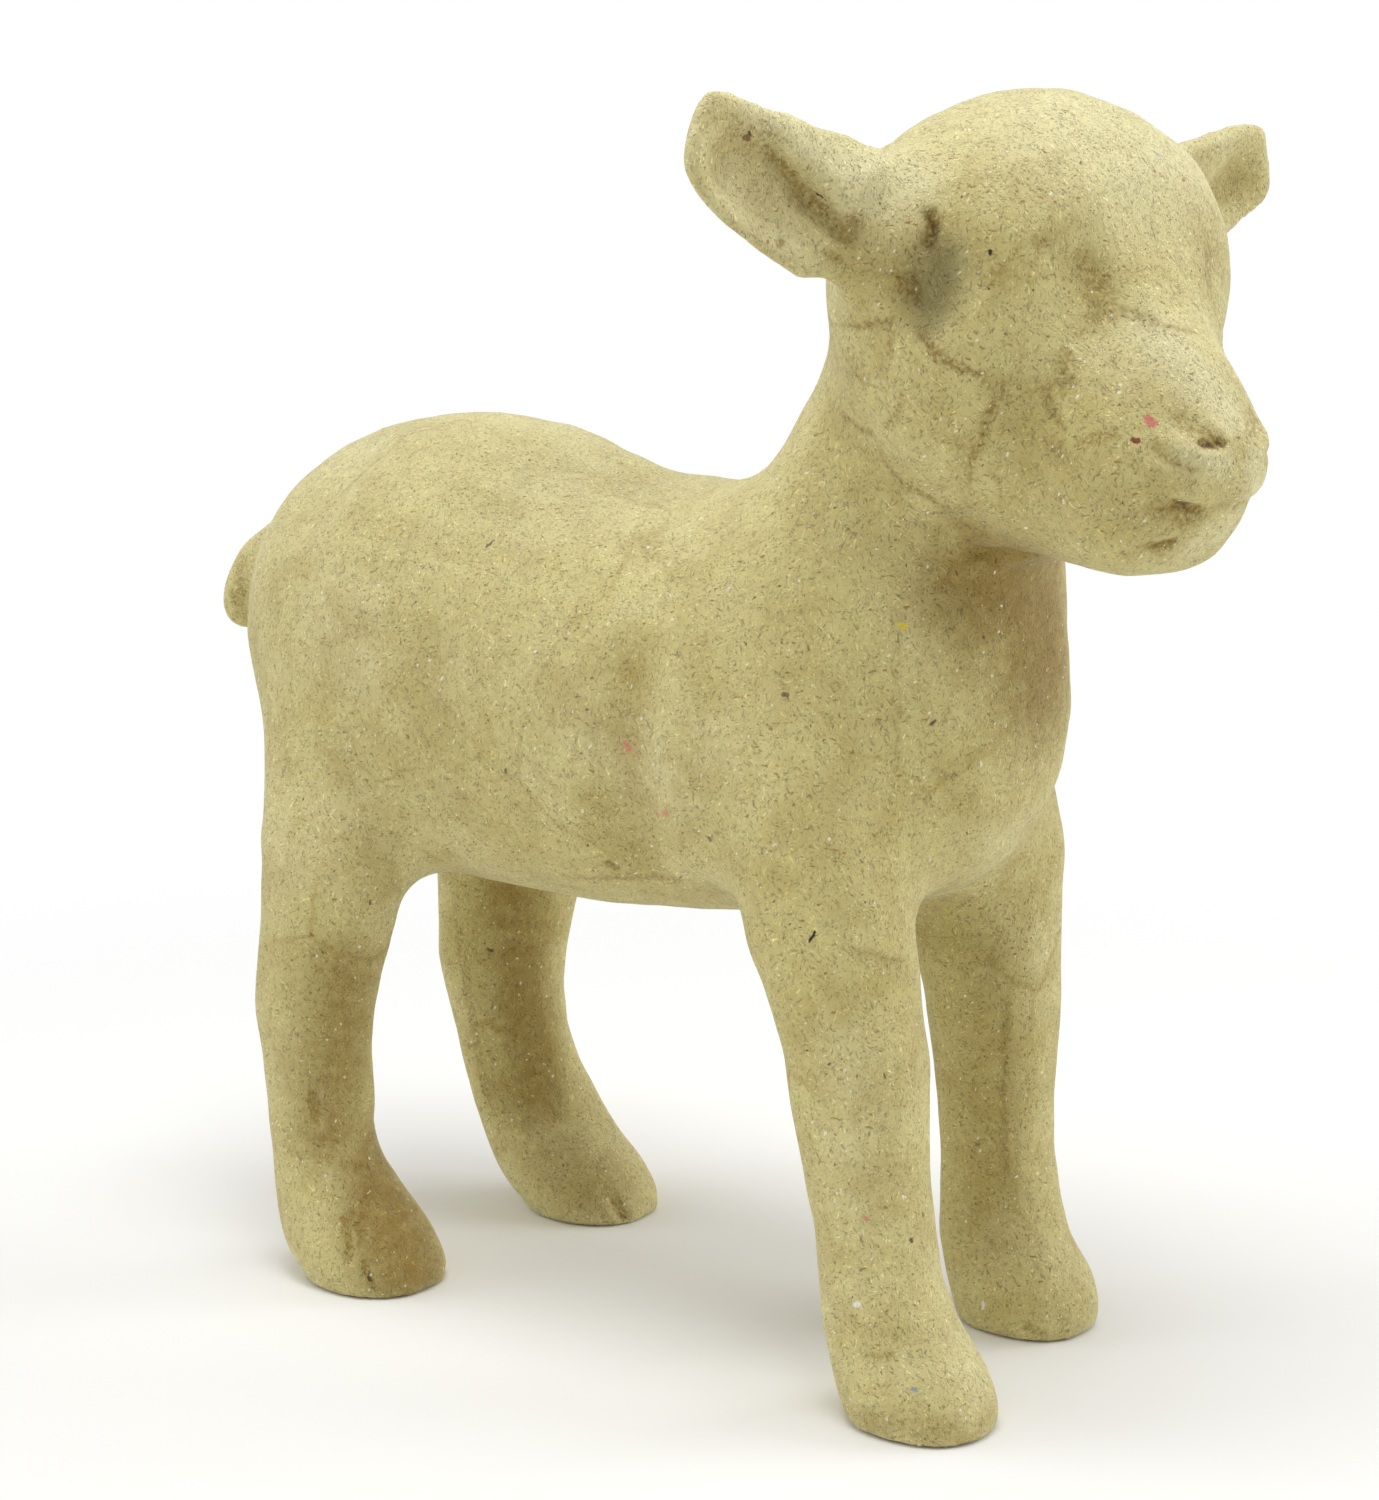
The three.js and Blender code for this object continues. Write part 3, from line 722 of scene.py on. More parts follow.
TRUNK_STROKES = (
    # The hollow behind the shoulder, with painted shade in it, and the swelling of the shoulder itself
    press(((625, 680), (620, 760), (630, 850)), 10.0, 2.1, 0.3, Mirror.BODY),
    press(((675, 690), (675, 780), (700, 870)), 8.0, -0.9, 0.0, Mirror.BODY),
    # The flat of the haunch, the saddle and the armpit, each with painted shade in its hollow, and the grey
    # of the back
    press(((425, 640), (440, 740)), 11.0, 1.0, 0.22, Mirror.BODY),
    press(((545, 465), (605, 480)), 10.0, 0.9, 0.15, Mirror.BODY),
    press(((928, 926), (950, 905)), 6.0, 0.8, 0.2, Mirror.BODY),
    stain_and_painted_light(((560, 464), (660, 470)), 24.0, 0.17, GrimeAndLight.SMUDGE, Mirror.BODY),
    # Painted shadow of the head on the throat and under the jaw, and a darker patch on the haunch
    stain_and_painted_light(((1004, 570), (1034, 615), (1044, 670)), 23.0, 0.9),
    stain_and_painted_light(((985, 562), (1055, 566)), 8.0, 0.75),
    stain_and_painted_light(((345, 760), (380, 860)), 10.0, 0.25),
    # The slope of the rump above the tail
    press(((350, 455), (318, 490)), 13.0, 1.3),
)

LEG_STROKES = (
    # Seams and sheet ends on the far legs
    lap(((1010, 970), (1005, 1040), (1003, 1100), (1006, 1160), (1010, 1210)), 5.0, 0.35, 0.4),
    lap(((452, 866), (466, 980), (484, 1080), (500, 1150)), 4.0, 0.6, 0.5),
    crease(((612, 1196), (620, 1212), (632, 1226)), 1.6, 0.6, 0.7),
    lap(((1020, 1322), (1035, 1330), (1050, 1336)), 5.0, 0.25, 0.5),
    # Wrinkles on the near hind leg and its foot, and the hollow over the foot
    crease(((310, 1085), (316, 1105), (314, 1130)), 1.6, 0.5, 0.7),
    crease(((342, 1205), (345, 1225), (350, 1245), (346, 1268)), 1.5, 0.55, 0.7),
    crease(((353, 1206), (357, 1236)), 1.3, 0.35, 0.55),
    crease(((362, 1255), (368, 1280), (378, 1292)), 1.4, 0.45, 0.6),
    crease(((352, 1169), (362, 1166), (372, 1168)), 1.3, 0.3, 0.8),
    crease(((366, 1168), (364, 1200), (360, 1232), (364, 1262)), 1.6, 0.5, 0.6),
    press(((376, 1085), (388, 1160)), 10.0, 1.5, 0.0, Mirror.BODY),
    # A sheet's end on the near front leg and another on its foot
    lap(((838, 946), (866, 952), (896, 962), (914, 958)), 6.0, 0.3, 0.3),
    lap(((852, 1350), (880, 1358), (898, 1350)), 6.0, 0.22, 0.4),
    # Painted shade on the far legs and far foot, which the near legs and belly shade, and darker colour
    # towards the bottom of the near hind leg and on the feet
    stain_and_painted_light(((985, 960), (990, 1240)), 12.0, 0.42),
    stain_and_painted_light(((510, 900), (540, 1100)), 13.0, 0.7),
    stain_and_painted_light(((560, 1150), (610, 1190)), 12.0, 0.5),
    stain_and_painted_light(((384, 1165), (408, 1262)), 17.0, 0.85),
    stain_and_painted_light(((345, 980), (330, 1130)), 14.0, 0.65),
    stain_and_painted_light(((870, 1425), (950, 1430)), 5.0, 0.35),
)

ALL_STROKES = EAR_STROKES + FACE_STROKES + PAINTED_HIGHLIGHT_STROKES + SHEET_STROKES + TRUNK_STROKES + LEG_STROKES


class Tint(Enum):
    """Colours of the specks in the recycled paper."""

    PINK = (0.66, 0.16, 0.15)
    RED = (0.2, 0.02, 0.012)
    YELLOW = (0.72, 0.6, 0.02)
    BLUE = (0.2, 0.33, 0.42)
    WHITE = (0.83, 0.82, 0.74)
    BLACK = (0.03, 0.02, 0.012)
    BROWN = (0.2, 0.11, 0.035)


@dataclass(frozen=True)
class Mark:
    """A speck or splinter seen on the photograph. Its radius is in millimetres."""

    tint: Tint
    start: Pixel
    end: Pixel
    radius: float
    strength: float = 0.9


MARKS = (
    # Coloured specks
    Mark(Tint.PINK, (1148, 419), (1153, 424), 0.9, 0.8),
    Mark(Tint.PINK, (625, 744), (629, 748), 0.8, 0.6),
    Mark(Tint.PINK, (656, 812), (658, 816), 0.6, 0.6),
    Mark(Tint.PINK, (664, 814), (667, 813), 0.7, 0.6),
    Mark(Tint.PINK, (864, 1217), (867, 1219), 0.5, 0.6),
    Mark(Tint.RED, (1134, 440), (1138, 441), 0.5),
    Mark(Tint.YELLOW, (901, 625), (904, 627), 0.6),
    Mark(Tint.BLUE, (913, 1389), (916, 1390), 0.5, 0.7),
    Mark(Tint.BLUE, (1156, 153), (1160, 156), 0.5, 0.5),
    Mark(Tint.WHITE, (855, 1305), (859, 1304), 0.6, 0.8),
    Mark(Tint.WHITE, (983, 1302), (983, 1308), 0.5, 0.7),
    # Dark specks and splinters
    Mark(Tint.BLACK, (990, 252), (990, 254), 0.42, 1.0),
    Mark(Tint.BLACK, (749, 133), (750, 135), 0.42),
    Mark(Tint.BROWN, (745, 137), (748, 139), 0.6),
    Mark(Tint.BLACK, (809, 942), (815, 932), 0.3, 1.0),
    Mark(Tint.BLACK, (818, 195), (822, 197), 0.36),
    Mark(Tint.BLACK, (783, 694), (787, 695), 0.5, 0.7),
    Mark(Tint.BLACK, (709, 838), (710, 840), 0.5, 0.7),
    Mark(Tint.BLACK, (931, 724), (935, 722), 0.4, 0.8),
    Mark(Tint.BLACK, (487, 546), (494, 541), 0.3, 0.7),
    Mark(Tint.BLACK, (911, 1239), (912, 1242), 0.4, 0.8),
    Mark(Tint.BLACK, (369, 1278), (371, 1280), 0.42, 0.8),
    Mark(Tint.BLACK, (488, 949), (492, 951), 0.45, 0.7),
)


@dataclass
class Trail:
    """A path that lies on the skin: places and outward directions, in metres, and its strength."""

    places: np.ndarray
    normals: np.ndarray
    strength: np.ndarray

    def long_enough(self) -> bool:
        """Whether enough of the path lies on the lamb to follow it."""
        return len(self.places) > 1

    def left(self) -> np.ndarray:
        """Directions along the skin to the left of the path, one row for each place."""
        return np.cross(self.normals, np.gradient(self.places, axis=0))


@dataclass
class Tracer:
    """Finds where the pixels of the photograph lie on the skin."""

    view: PhotoView
    tree: BVHTree
    pixel_step: float = 3.0
    least_pixels: int = 4
    corner_rounds: int = 6
    fade_share: float = 0.22
    snap: float = 0.02

    def under(self, pixel: Pixel) -> tuple[Optional[Vector], Optional[Vector]]:
        """The place on the skin under a pixel and the way it faces, or None twice beside the lamb."""
        return self.tree.ray_cast(self.view.place, self.view.ray(pixel))[:2]

    def pixels_along(self, path: Path) -> np.ndarray:
        """Closely spaced pixels along a path whose corners are rounded.

        Args:
            path: The corners of the path.

        Returns:
            One row for each pixel.
        """
        corners = np.array(path, dtype=float)
        steps = np.linalg.norm(np.diff(corners, axis=0), axis=1)
        run = np.concatenate(([0.0], np.cumsum(steps)))
        count = max(self.least_pixels, int(run[-1] / self.pixel_step))
        at = np.linspace(0.0, run[-1], count)
        line = np.stack([np.interp(at, run, corners[:, axis]) for axis in range(2)], axis=1)
        for _ in range(self.corner_rounds):
            line[1:-1] = (line[:-2] + 2.0 * line[1:-1] + line[2:]) / 4.0
        return line

    def trail(self, stroke: Stroke) -> Trail:
        """Lay a stroke's path on the skin.

        Args:
            stroke: The stroke to lay.

        Returns:
            Its trail, without the pixels that miss the lamb.
        """
        places = []
        normals = []
        for pixel in self.pixels_along(stroke.path):
            place, normal = self.under(pixel)
            if place is not None:
                places.append(place)
                normals.append(normal)
        strength = np.ones(len(places))
        if stroke.narrow():
            share = np.linspace(0.0, 1.0, len(places))
            strength = smooth_step(share / self.fade_share) * smooth_step((1.0 - share) / self.fade_share)
        return Trail(np.array(places), np.array(normals), strength)

    def reflected(self, trail: Trail, point: Vector, normal: Vector) -> Trail:
        """Repeat a trail on the other side of a plane.

        Args:
            trail: The trail to repeat.
            point: A place on the plane.
            normal: The plane's direction.

        Returns:
            The trail on the far side, laid on the skin there and run the other way.
        """
        places = []
        normals = []
        strength = []
        for place, power in zip(trail.places[::-1], trail.strength[::-1]):
            away = normal.dot(Vector(place) - point)
            near, outward = self.tree.find_nearest(Vector(place) - normal * (2.0 * away), self.snap)[:2]
            if near is not None:
                places.append(near)
                normals.append(outward)
                strength.append(power)
        return Trail(np.array(places), np.array(normals), np.array(strength))


@dataclass
class Surface:
    """A mesh whose corners are read and moved all at once, one row for each. Places are metres."""

    mesh: bpy.types.Mesh

    @staticmethod
    def rows(values: bpy.types.bpy_prop_collection, name: str) -> np.ndarray:
        """Three numbers for each item of a collection."""
        flat = np.empty(len(values) * 3)
        values.foreach_get(name, flat)
        return flat.reshape(-1, 3)

    def points(self) -> np.ndarray:
        """Places of the corners."""
        return self.rows(self.mesh.vertices, "co")

    def normals(self) -> np.ndarray:
        """Outward directions at the corners."""
        return self.rows(self.mesh.vertex_normals, "vector")

    def move(self, points: np.ndarray) -> None:
        """Write new places of the corners."""
        self.mesh.vertices.foreach_set("co", points.ravel())
        self.mesh.update()

    def swell(self, height: np.ndarray) -> None:
        """Move each corner outward by its own height in millimetres."""
        self.move(self.points() + self.normals() * height[:, None] * MM)

    def keep_layer(self, name: str, values: np.ndarray) -> None:
        """Keep one number for each corner under a name, or the larger of it and the one there.

        Args:
            name: The layer's name.
            values: One number for each corner.
        """
        layer = self.mesh.attributes.get(name)
        if layer is None:
            layer = self.mesh.attributes.new(name, "FLOAT", "POINT")
            layer.data.foreach_set("value", values.astype(np.float32))
            return
        kept = np.empty(len(values), dtype=np.float32)
        layer.data.foreach_get("value", kept)
        layer.data.foreach_set("value", np.maximum(kept, values).astype(np.float32))

    def pulls(self, points: np.ndarray) -> np.ndarray:
        """How far each corner lies from the mean of its neighbours.

        Args:
            points: Places of the corners.

        Returns:
            A step for each corner towards its neighbours' mean.
        """
        ends = np.empty(len(self.mesh.edges) * 2, dtype=np.int64)
        self.mesh.edges.foreach_get("vertices", ends)
        here, there = ends[0::2], ends[1::2]
        count = np.bincount(ends, minlength=len(points))
        total = np.empty_like(points)
        for axis in range(3):
            total[:, axis] = np.bincount(here, points[there, axis], len(points))
            total[:, axis] += np.bincount(there, points[here, axis], len(points))
        return total / count[:, None] - points


@dataclass
class PaperSkin:
    """The unbroken skin of pasted paper over the shells, ears, tail and strips. Lengths are millimetres."""

    view: PhotoView
    voxel: float = 1.12
    split_reaches: tuple[float, ...] = (2.6, 1.3)
    swell: float = 0.3
    joint_rounds: int = 220
    skin_rounds: int = 40
    hollow_rounds: int = 50
    pull_in: float = 0.5
    push_out: float = 0.52
    joint_gain: float = 1.8
    facing_gain: float = 2.0
    floor_gap: float = 0.3
    head_pivot: float = 46.01
    head_turn: float = math.radians(-13.0)
    limb_reach: tuple[tuple[str, float], ...] = (
        ("head_shell", 11.0),
        ("ear_right", 7.0),
        ("ear_left", 7.0),
        ("tail", 5.0),
        ("leg_front_right", 11.0),
        ("leg_front_left", 11.0),
        ("leg_rear_right", 12.0),
        ("leg_rear_left", 12.0),
    )
    unevenness: tuple[tuple[float, float], ...] = ((34.0, 0.8), (13.0, 0.34), (5.5, 0.15))
    surface: Surface = field(init=False)

    def covered(self) -> list[str]:
        """Names of the CAD nodes that the skin stands for."""
        return self.solids() + cad_nodes("neck_", "back_", "belly_", "crown_")

    @staticmethod
    def solids() -> list[str]:
        """Names of the CAD nodes that give the skin its shape. The thin strips over the seams do not."""
        return cad_nodes("body_shell", "head_shell", "ear_", "tail", "leg_")

    def gathered(self) -> bpy.types.Object:
        """Join the CAD solids into one swollen mesh whose paste gaps are closed.

        Returns:
            A new object, still with inner walls.
        """
        mesh = bpy.data.meshes.new("paper_skin")
        with open_sheet(*cad_meshes(self.solids() + cad_nodes("sole_"))) as sheet:
            bmesh.ops.remove_doubles(sheet, verts=sheet.verts, dist=SAME_PLACE)
            bmesh.ops.recalc_face_normals(sheet, faces=sheet.faces)
            sheet.normal_update()
            for corner in sheet.verts:
                corner.co += corner.normal * self.swell * MM
            sheet.to_mesh(mesh)
        return link(bpy.data.objects.new("paper_skin", mesh))

    def remesh(self, obj: bpy.types.Object) -> None:
        """Give the object an even mesh of small squares and keep only its outer skin.

        Args:
            obj: The gathered solids, whose mesh is replaced.
        """
        cover = obj.modifiers.new("even mesh", "REMESH")
        cover.mode = "VOXEL"
        cover.voxel_size = self.voxel * MM
        graph = bpy.context.evaluated_depsgraph_get()
        mesh = bpy.data.meshes.new_from_object(obj.evaluated_get(graph))
        obj.modifiers.clear()
        with open_sheet(mesh) as sheet:
            self.keep_outer(sheet)
            sheet.to_mesh(mesh)
        obj.data = mesh

    @staticmethod
    def keep_outer(sheet: bmesh.types.BMesh) -> None:
        """Delete every loose part but the one that holds the topmost point.

        Args:
            sheet: The mesh to clean.
        """
        sheet.verts.ensure_lookup_table()
        start = max(sheet.verts, key=lambda corner: corner.co.z)
        kept = {start}
        waiting = [start]
        while waiting:
            corner = waiting.pop()
            for edge in corner.link_edges:
                other = edge.other_vert(corner)
                if other not in kept:
                    kept.add(other)
                    waiting.append(other)
        inner = [corner for corner in sheet.verts if corner not in kept]
        bmesh.ops.delete(sheet, geom=inner, context="VERTS")

    def joint_softness(self, points: np.ndarray) -> np.ndarray:
        """How much each corner is softened because two limbs meet near it.

        Args:
            points: Places of the skin's corners.

        Returns:
            A weight from 0 to 1 for each corner.
        """
        zones = (("body_shell", max(reach for _, reach in self.limb_reach)),) + self.limb_reach
        weight = np.zeros((len(zones), len(points)))
        for row, (first_word, reach) in enumerate(zones):
            tree = search_tree(*cad_meshes(cad_nodes(first_word)))
            for column, point in enumerate(points):
                distance = tree.find_nearest(point, reach * MM)[3]
                if distance is not None:
                    weight[row, column] = 1.0 - distance / (reach * MM)
        second = np.sort(weight, axis=0)[-2]
        return np.clip(second * self.joint_gain, 0.0, 1.0)

    def soften(self) -> None:
        """Round the joints between limbs, then even out the facets all over without shrinking."""
        points = self.surface.points()
        weight = self.joint_softness(points)[:, None]
        for _ in range(self.joint_rounds):
            points = points + self.pull_in * weight * self.surface.pulls(points)
        for _ in range(self.skin_rounds):
            points = points + self.pull_in * self.surface.pulls(points)
            points = points - self.push_out * self.surface.pulls(points)
        self.surface.move(points)

    def trails(self, stroke: Stroke, tracer: Tracer) -> list[Trail]:
        """Lay a stroke on the skin, and its reflection where it has one.

        Args:
            stroke: The stroke to lay.
            tracer: Finds places on the skin.

        Returns:
            One or two trails.
        """
        seen = tracer.trail(stroke)
        if stroke.mirror is Mirror.NONE:
            return [seen]
        middle = (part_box("body_shell_right")[1][1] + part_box("body_shell_left")[0][1]) / 2
        turn = self.head_turn if stroke.mirror is Mirror.HEAD else 0.0
        pivot = Vector((self.head_pivot * MM, middle, 0.0))
        sideways = Vector((-math.sin(turn), math.cos(turn), 0.0))
        return [seen, tracer.reflected(seen, pivot, sideways)]

    @staticmethod
    def near(points: np.ndarray, trail: Trail, reach: float) -> tuple[np.ndarray, ...]:
        """Find the corners beside a trail.

        Args:
            points: Places of the skin's corners.
            trail: The trail.
            reach: How far from the trail to look, in millimetres.

        Returns:
            The corners' rows, the trail's place nearest to each, and the distance across the trail in
            millimetres, negative on its right-hand side.
        """
        low = trail.places.min(axis=0) - reach * MM
        high = trail.places.max(axis=0) + reach * MM
        rows = np.flatnonzero(np.all((points > low) & (points < high), axis=1))
        gaps = points[rows, None, :] - trail.places[None, :, :]
        nearest = np.argmin(np.einsum("ijk,ijk->ij", gaps, gaps), axis=1)
        gap = gaps[np.arange(len(rows)), nearest]
        side = np.where(np.einsum("ij,ij->i", gap, trail.left()[nearest]) < 0.0, -1.0, 1.0)
        return rows, nearest, side * np.linalg.norm(gap, axis=1) / MM

    def all_trails(self, narrow: bool) -> list[tuple[Stroke, Trail]]:
        """Lay either the narrow or the broad strokes on the skin as it is now.

        Args:
            narrow: Which strokes to lay.

        Returns:
            Each stroke with one of its trails.
        """
        tracer = Tracer(self.view, search_tree(self.surface.mesh))
        laid = []
        for stroke in ALL_STROKES:
            if stroke.narrow() == narrow:
                laid.extend((stroke, trail) for trail in self.trails(stroke, tracer) if trail.long_enough())
        return laid

    def work(self, narrow: bool) -> None:
        """Make the narrow or the broad strokes in the skin and keep the soiling, painted shade and painted
        highlights that each leaves.

        Args:
            narrow: Which strokes to make.
        """
        points = self.surface.points()
        normals = self.surface.normals()
        height = np.zeros(len(points))
        grime_and_light = {kind: np.zeros(len(points)) for kind in GrimeAndLight}
        for stroke, trail in self.all_trails(narrow):
            rows, nearest, across = self.near(points, trail, stroke.reach())
            facing = np.einsum("ij,ij->i", normals[rows], trail.normals[nearest])
            power = trail.strength[nearest] * np.clip(self.facing_gain * facing, 0.0, 1.0)
            height[rows] += power * stroke.height(across)
            layer = grime_and_light[stroke.leaves()]
            layer[rows] = np.maximum(layer[rows], power * stroke.stain_and_painted_light(across))
        self.surface.swell(height)
        for kind, values in grime_and_light.items():
            self.surface.keep_layer(kind.value, values)

    def refine(self) -> None:
        """Split the squares along the narrow strokes, so that these come out sharp."""
        laid = self.all_trails(narrow=True)
        mesh = self.surface.mesh
        for reach in self.split_reaches:
            points = self.surface.points()
            close = np.zeros(len(points), dtype=bool)
            for _, trail in laid:
                rows, _, across = self.near(points, trail, reach)
                close[rows[np.abs(across) < reach]] = True
            with open_sheet(mesh) as sheet:
                edges = [edge for edge in sheet.edges if all(close[corner.index] for corner in edge.verts)]
                bmesh.ops.subdivide_edges(sheet, edges=edges, cuts=1, use_grid_fill=True)
                sheet.to_mesh(mesh)

    def make_uneven(self) -> None:
        """Add the low swells and hollows of paper laid by hand."""
        points = self.surface.points()
        height = np.zeros(len(points))
        for size, depth in self.unevenness:
            for row, point in enumerate(points / (size * MM)):
                height[row] += depth * noise.noise(point)
        self.surface.swell(height)

    def ground(self) -> None:
        """Flatten the feet just above the floor, where the soles take over."""
        points = self.surface.points()
        points[:, 2] = np.maximum(points[:, 2], self.floor_gap * MM)
        self.surface.move(points)

    def map_hollows(self) -> None:
        """Keep how deep each corner lies in a hollow, in millimetres, less than nought on a ridge."""
        points = self.surface.points()
        soft = points
        for _ in range(self.hollow_rounds):
            soft = soft + self.pull_in * self.surface.pulls(soft)
        depth = np.einsum("ij,ij->i", soft - points, self.surface.normals())
        self.surface.keep_layer(HOLLOW_LAYER, depth / MM)

    def build(self) -> bpy.types.Object:
        """Make the whole skin.

        Returns:
            The skin, riding on the lamb in place of the nodes that it covers.
        """
        skin = self.gathered()
        self.remesh(skin)
        self.surface = Surface(skin.data)
        self.soften()
        self.work(narrow=False)
        self.make_uneven()
        self.map_hollows()
        self.refine()
        self.work(narrow=True)
        self.ground()
        skin.data.shade_smooth()
        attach(skin, BODY)
        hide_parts(*self.covered())
        return skin


@dataclass
class BoardSole:
    """A disc of grey board that closes a foot. Lengths are millimetres."""

    node: str
    inset: float = 1.2
    bevel: float = 0.3
    bevel_steps: int = 3
    sharp: float = math.radians(60.0)
    flat: float = 1e-3

    def build(self) -> bpy.types.Object:
        """Make the disc a little smaller than its CAD node, with rounded edges.

        Returns:
            The disc, riding on the lamb in place of its node.
        """
        low, high = (Vector(corner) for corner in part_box(self.node))
        middle = (low + high) / 2
        half = (high - low) / 2
        mesh = bpy.data.meshes.new(f"board_{self.node}")
        with open_sheet(*cad_meshes([self.node])) as sheet:
            bmesh.ops.remove_doubles(sheet, verts=sheet.verts, dist=SAME_PLACE)
            bmesh.ops.dissolve_limit(sheet, angle_limit=self.flat, verts=sheet.verts, edges=sheet.edges)
            for corner in sheet.verts:
                corner.co.x = middle.x + (corner.co.x - middle.x) * (1.0 - self.inset * MM / half.x)
                corner.co.y = middle.y + (corner.co.y - middle.y) * (1.0 - self.inset * MM / half.y)
            rims = [edge for edge in sheet.edges if edge.calc_face_angle(0.0) > self.sharp]
            width = self.bevel * MM
            bmesh.ops.bevel(sheet, geom=rims, offset=width, segments=self.bevel_steps, affect="EDGES")
            sheet.to_mesh(mesh)
        disc = link(bpy.data.objects.new(f"board_{self.node}", mesh))
        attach(disc, BODY)
        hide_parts(self.node)
        return disc


@dataclass(frozen=True)
class GreyBoard:
    """The finish of the soles: pressed grey-brown board, speckled and rubbed."""

    grey: Colour = (0.3, 0.26, 0.18)
    wear: Patches = Patches(6.0, (0.4, 0.7), 1.0, (0.42, 0.37, 0.26))
    specks: Grains = Grains((0.2, 0.1, 0.8), 2.5, 0.7, 0.2, 0.7, (0.12, 0.1, 0.07), 0.7)
    grain_per_mm: float = 2.0
    grain_height: float = 0.12
    roughness: float = 0.95
    rubbed_smooth: float = 0.2

    def dress(self, obj: bpy.types.Object, effects: Effects) -> None:
        """Give an object this finish.

        Args:
            obj: The piece to dress.
            effects: The shared node groups.
        """
        graph = new_material(obj.data, "grey board")
        work = Dressing(graph, effects, graph.place_in_mm())
        worn = work.patched(self.wear)
        specks = work.strewn(self.specks).outputs["Mask"]
        colour = graph.tinted(self.grey, worn, self.wear.strength, self.wear.tint)
        colour = graph.tinted(colour, specks, self.specks.strength, self.specks.tint)
        grain = graph.times(work.cloud(self.grain_per_mm, detail=3.0), self.grain_height)
        smooth = graph.times(worn, self.rubbed_smooth)
        rough = graph.maths("SUBTRACT", self.roughness, smooth)
        plugs = {"Base Color": colour, "Normal": graph.relief(grain), "Roughness": rough}
        graph.end(graph.node("ShaderNodeBsdfPrincipled", plugs))


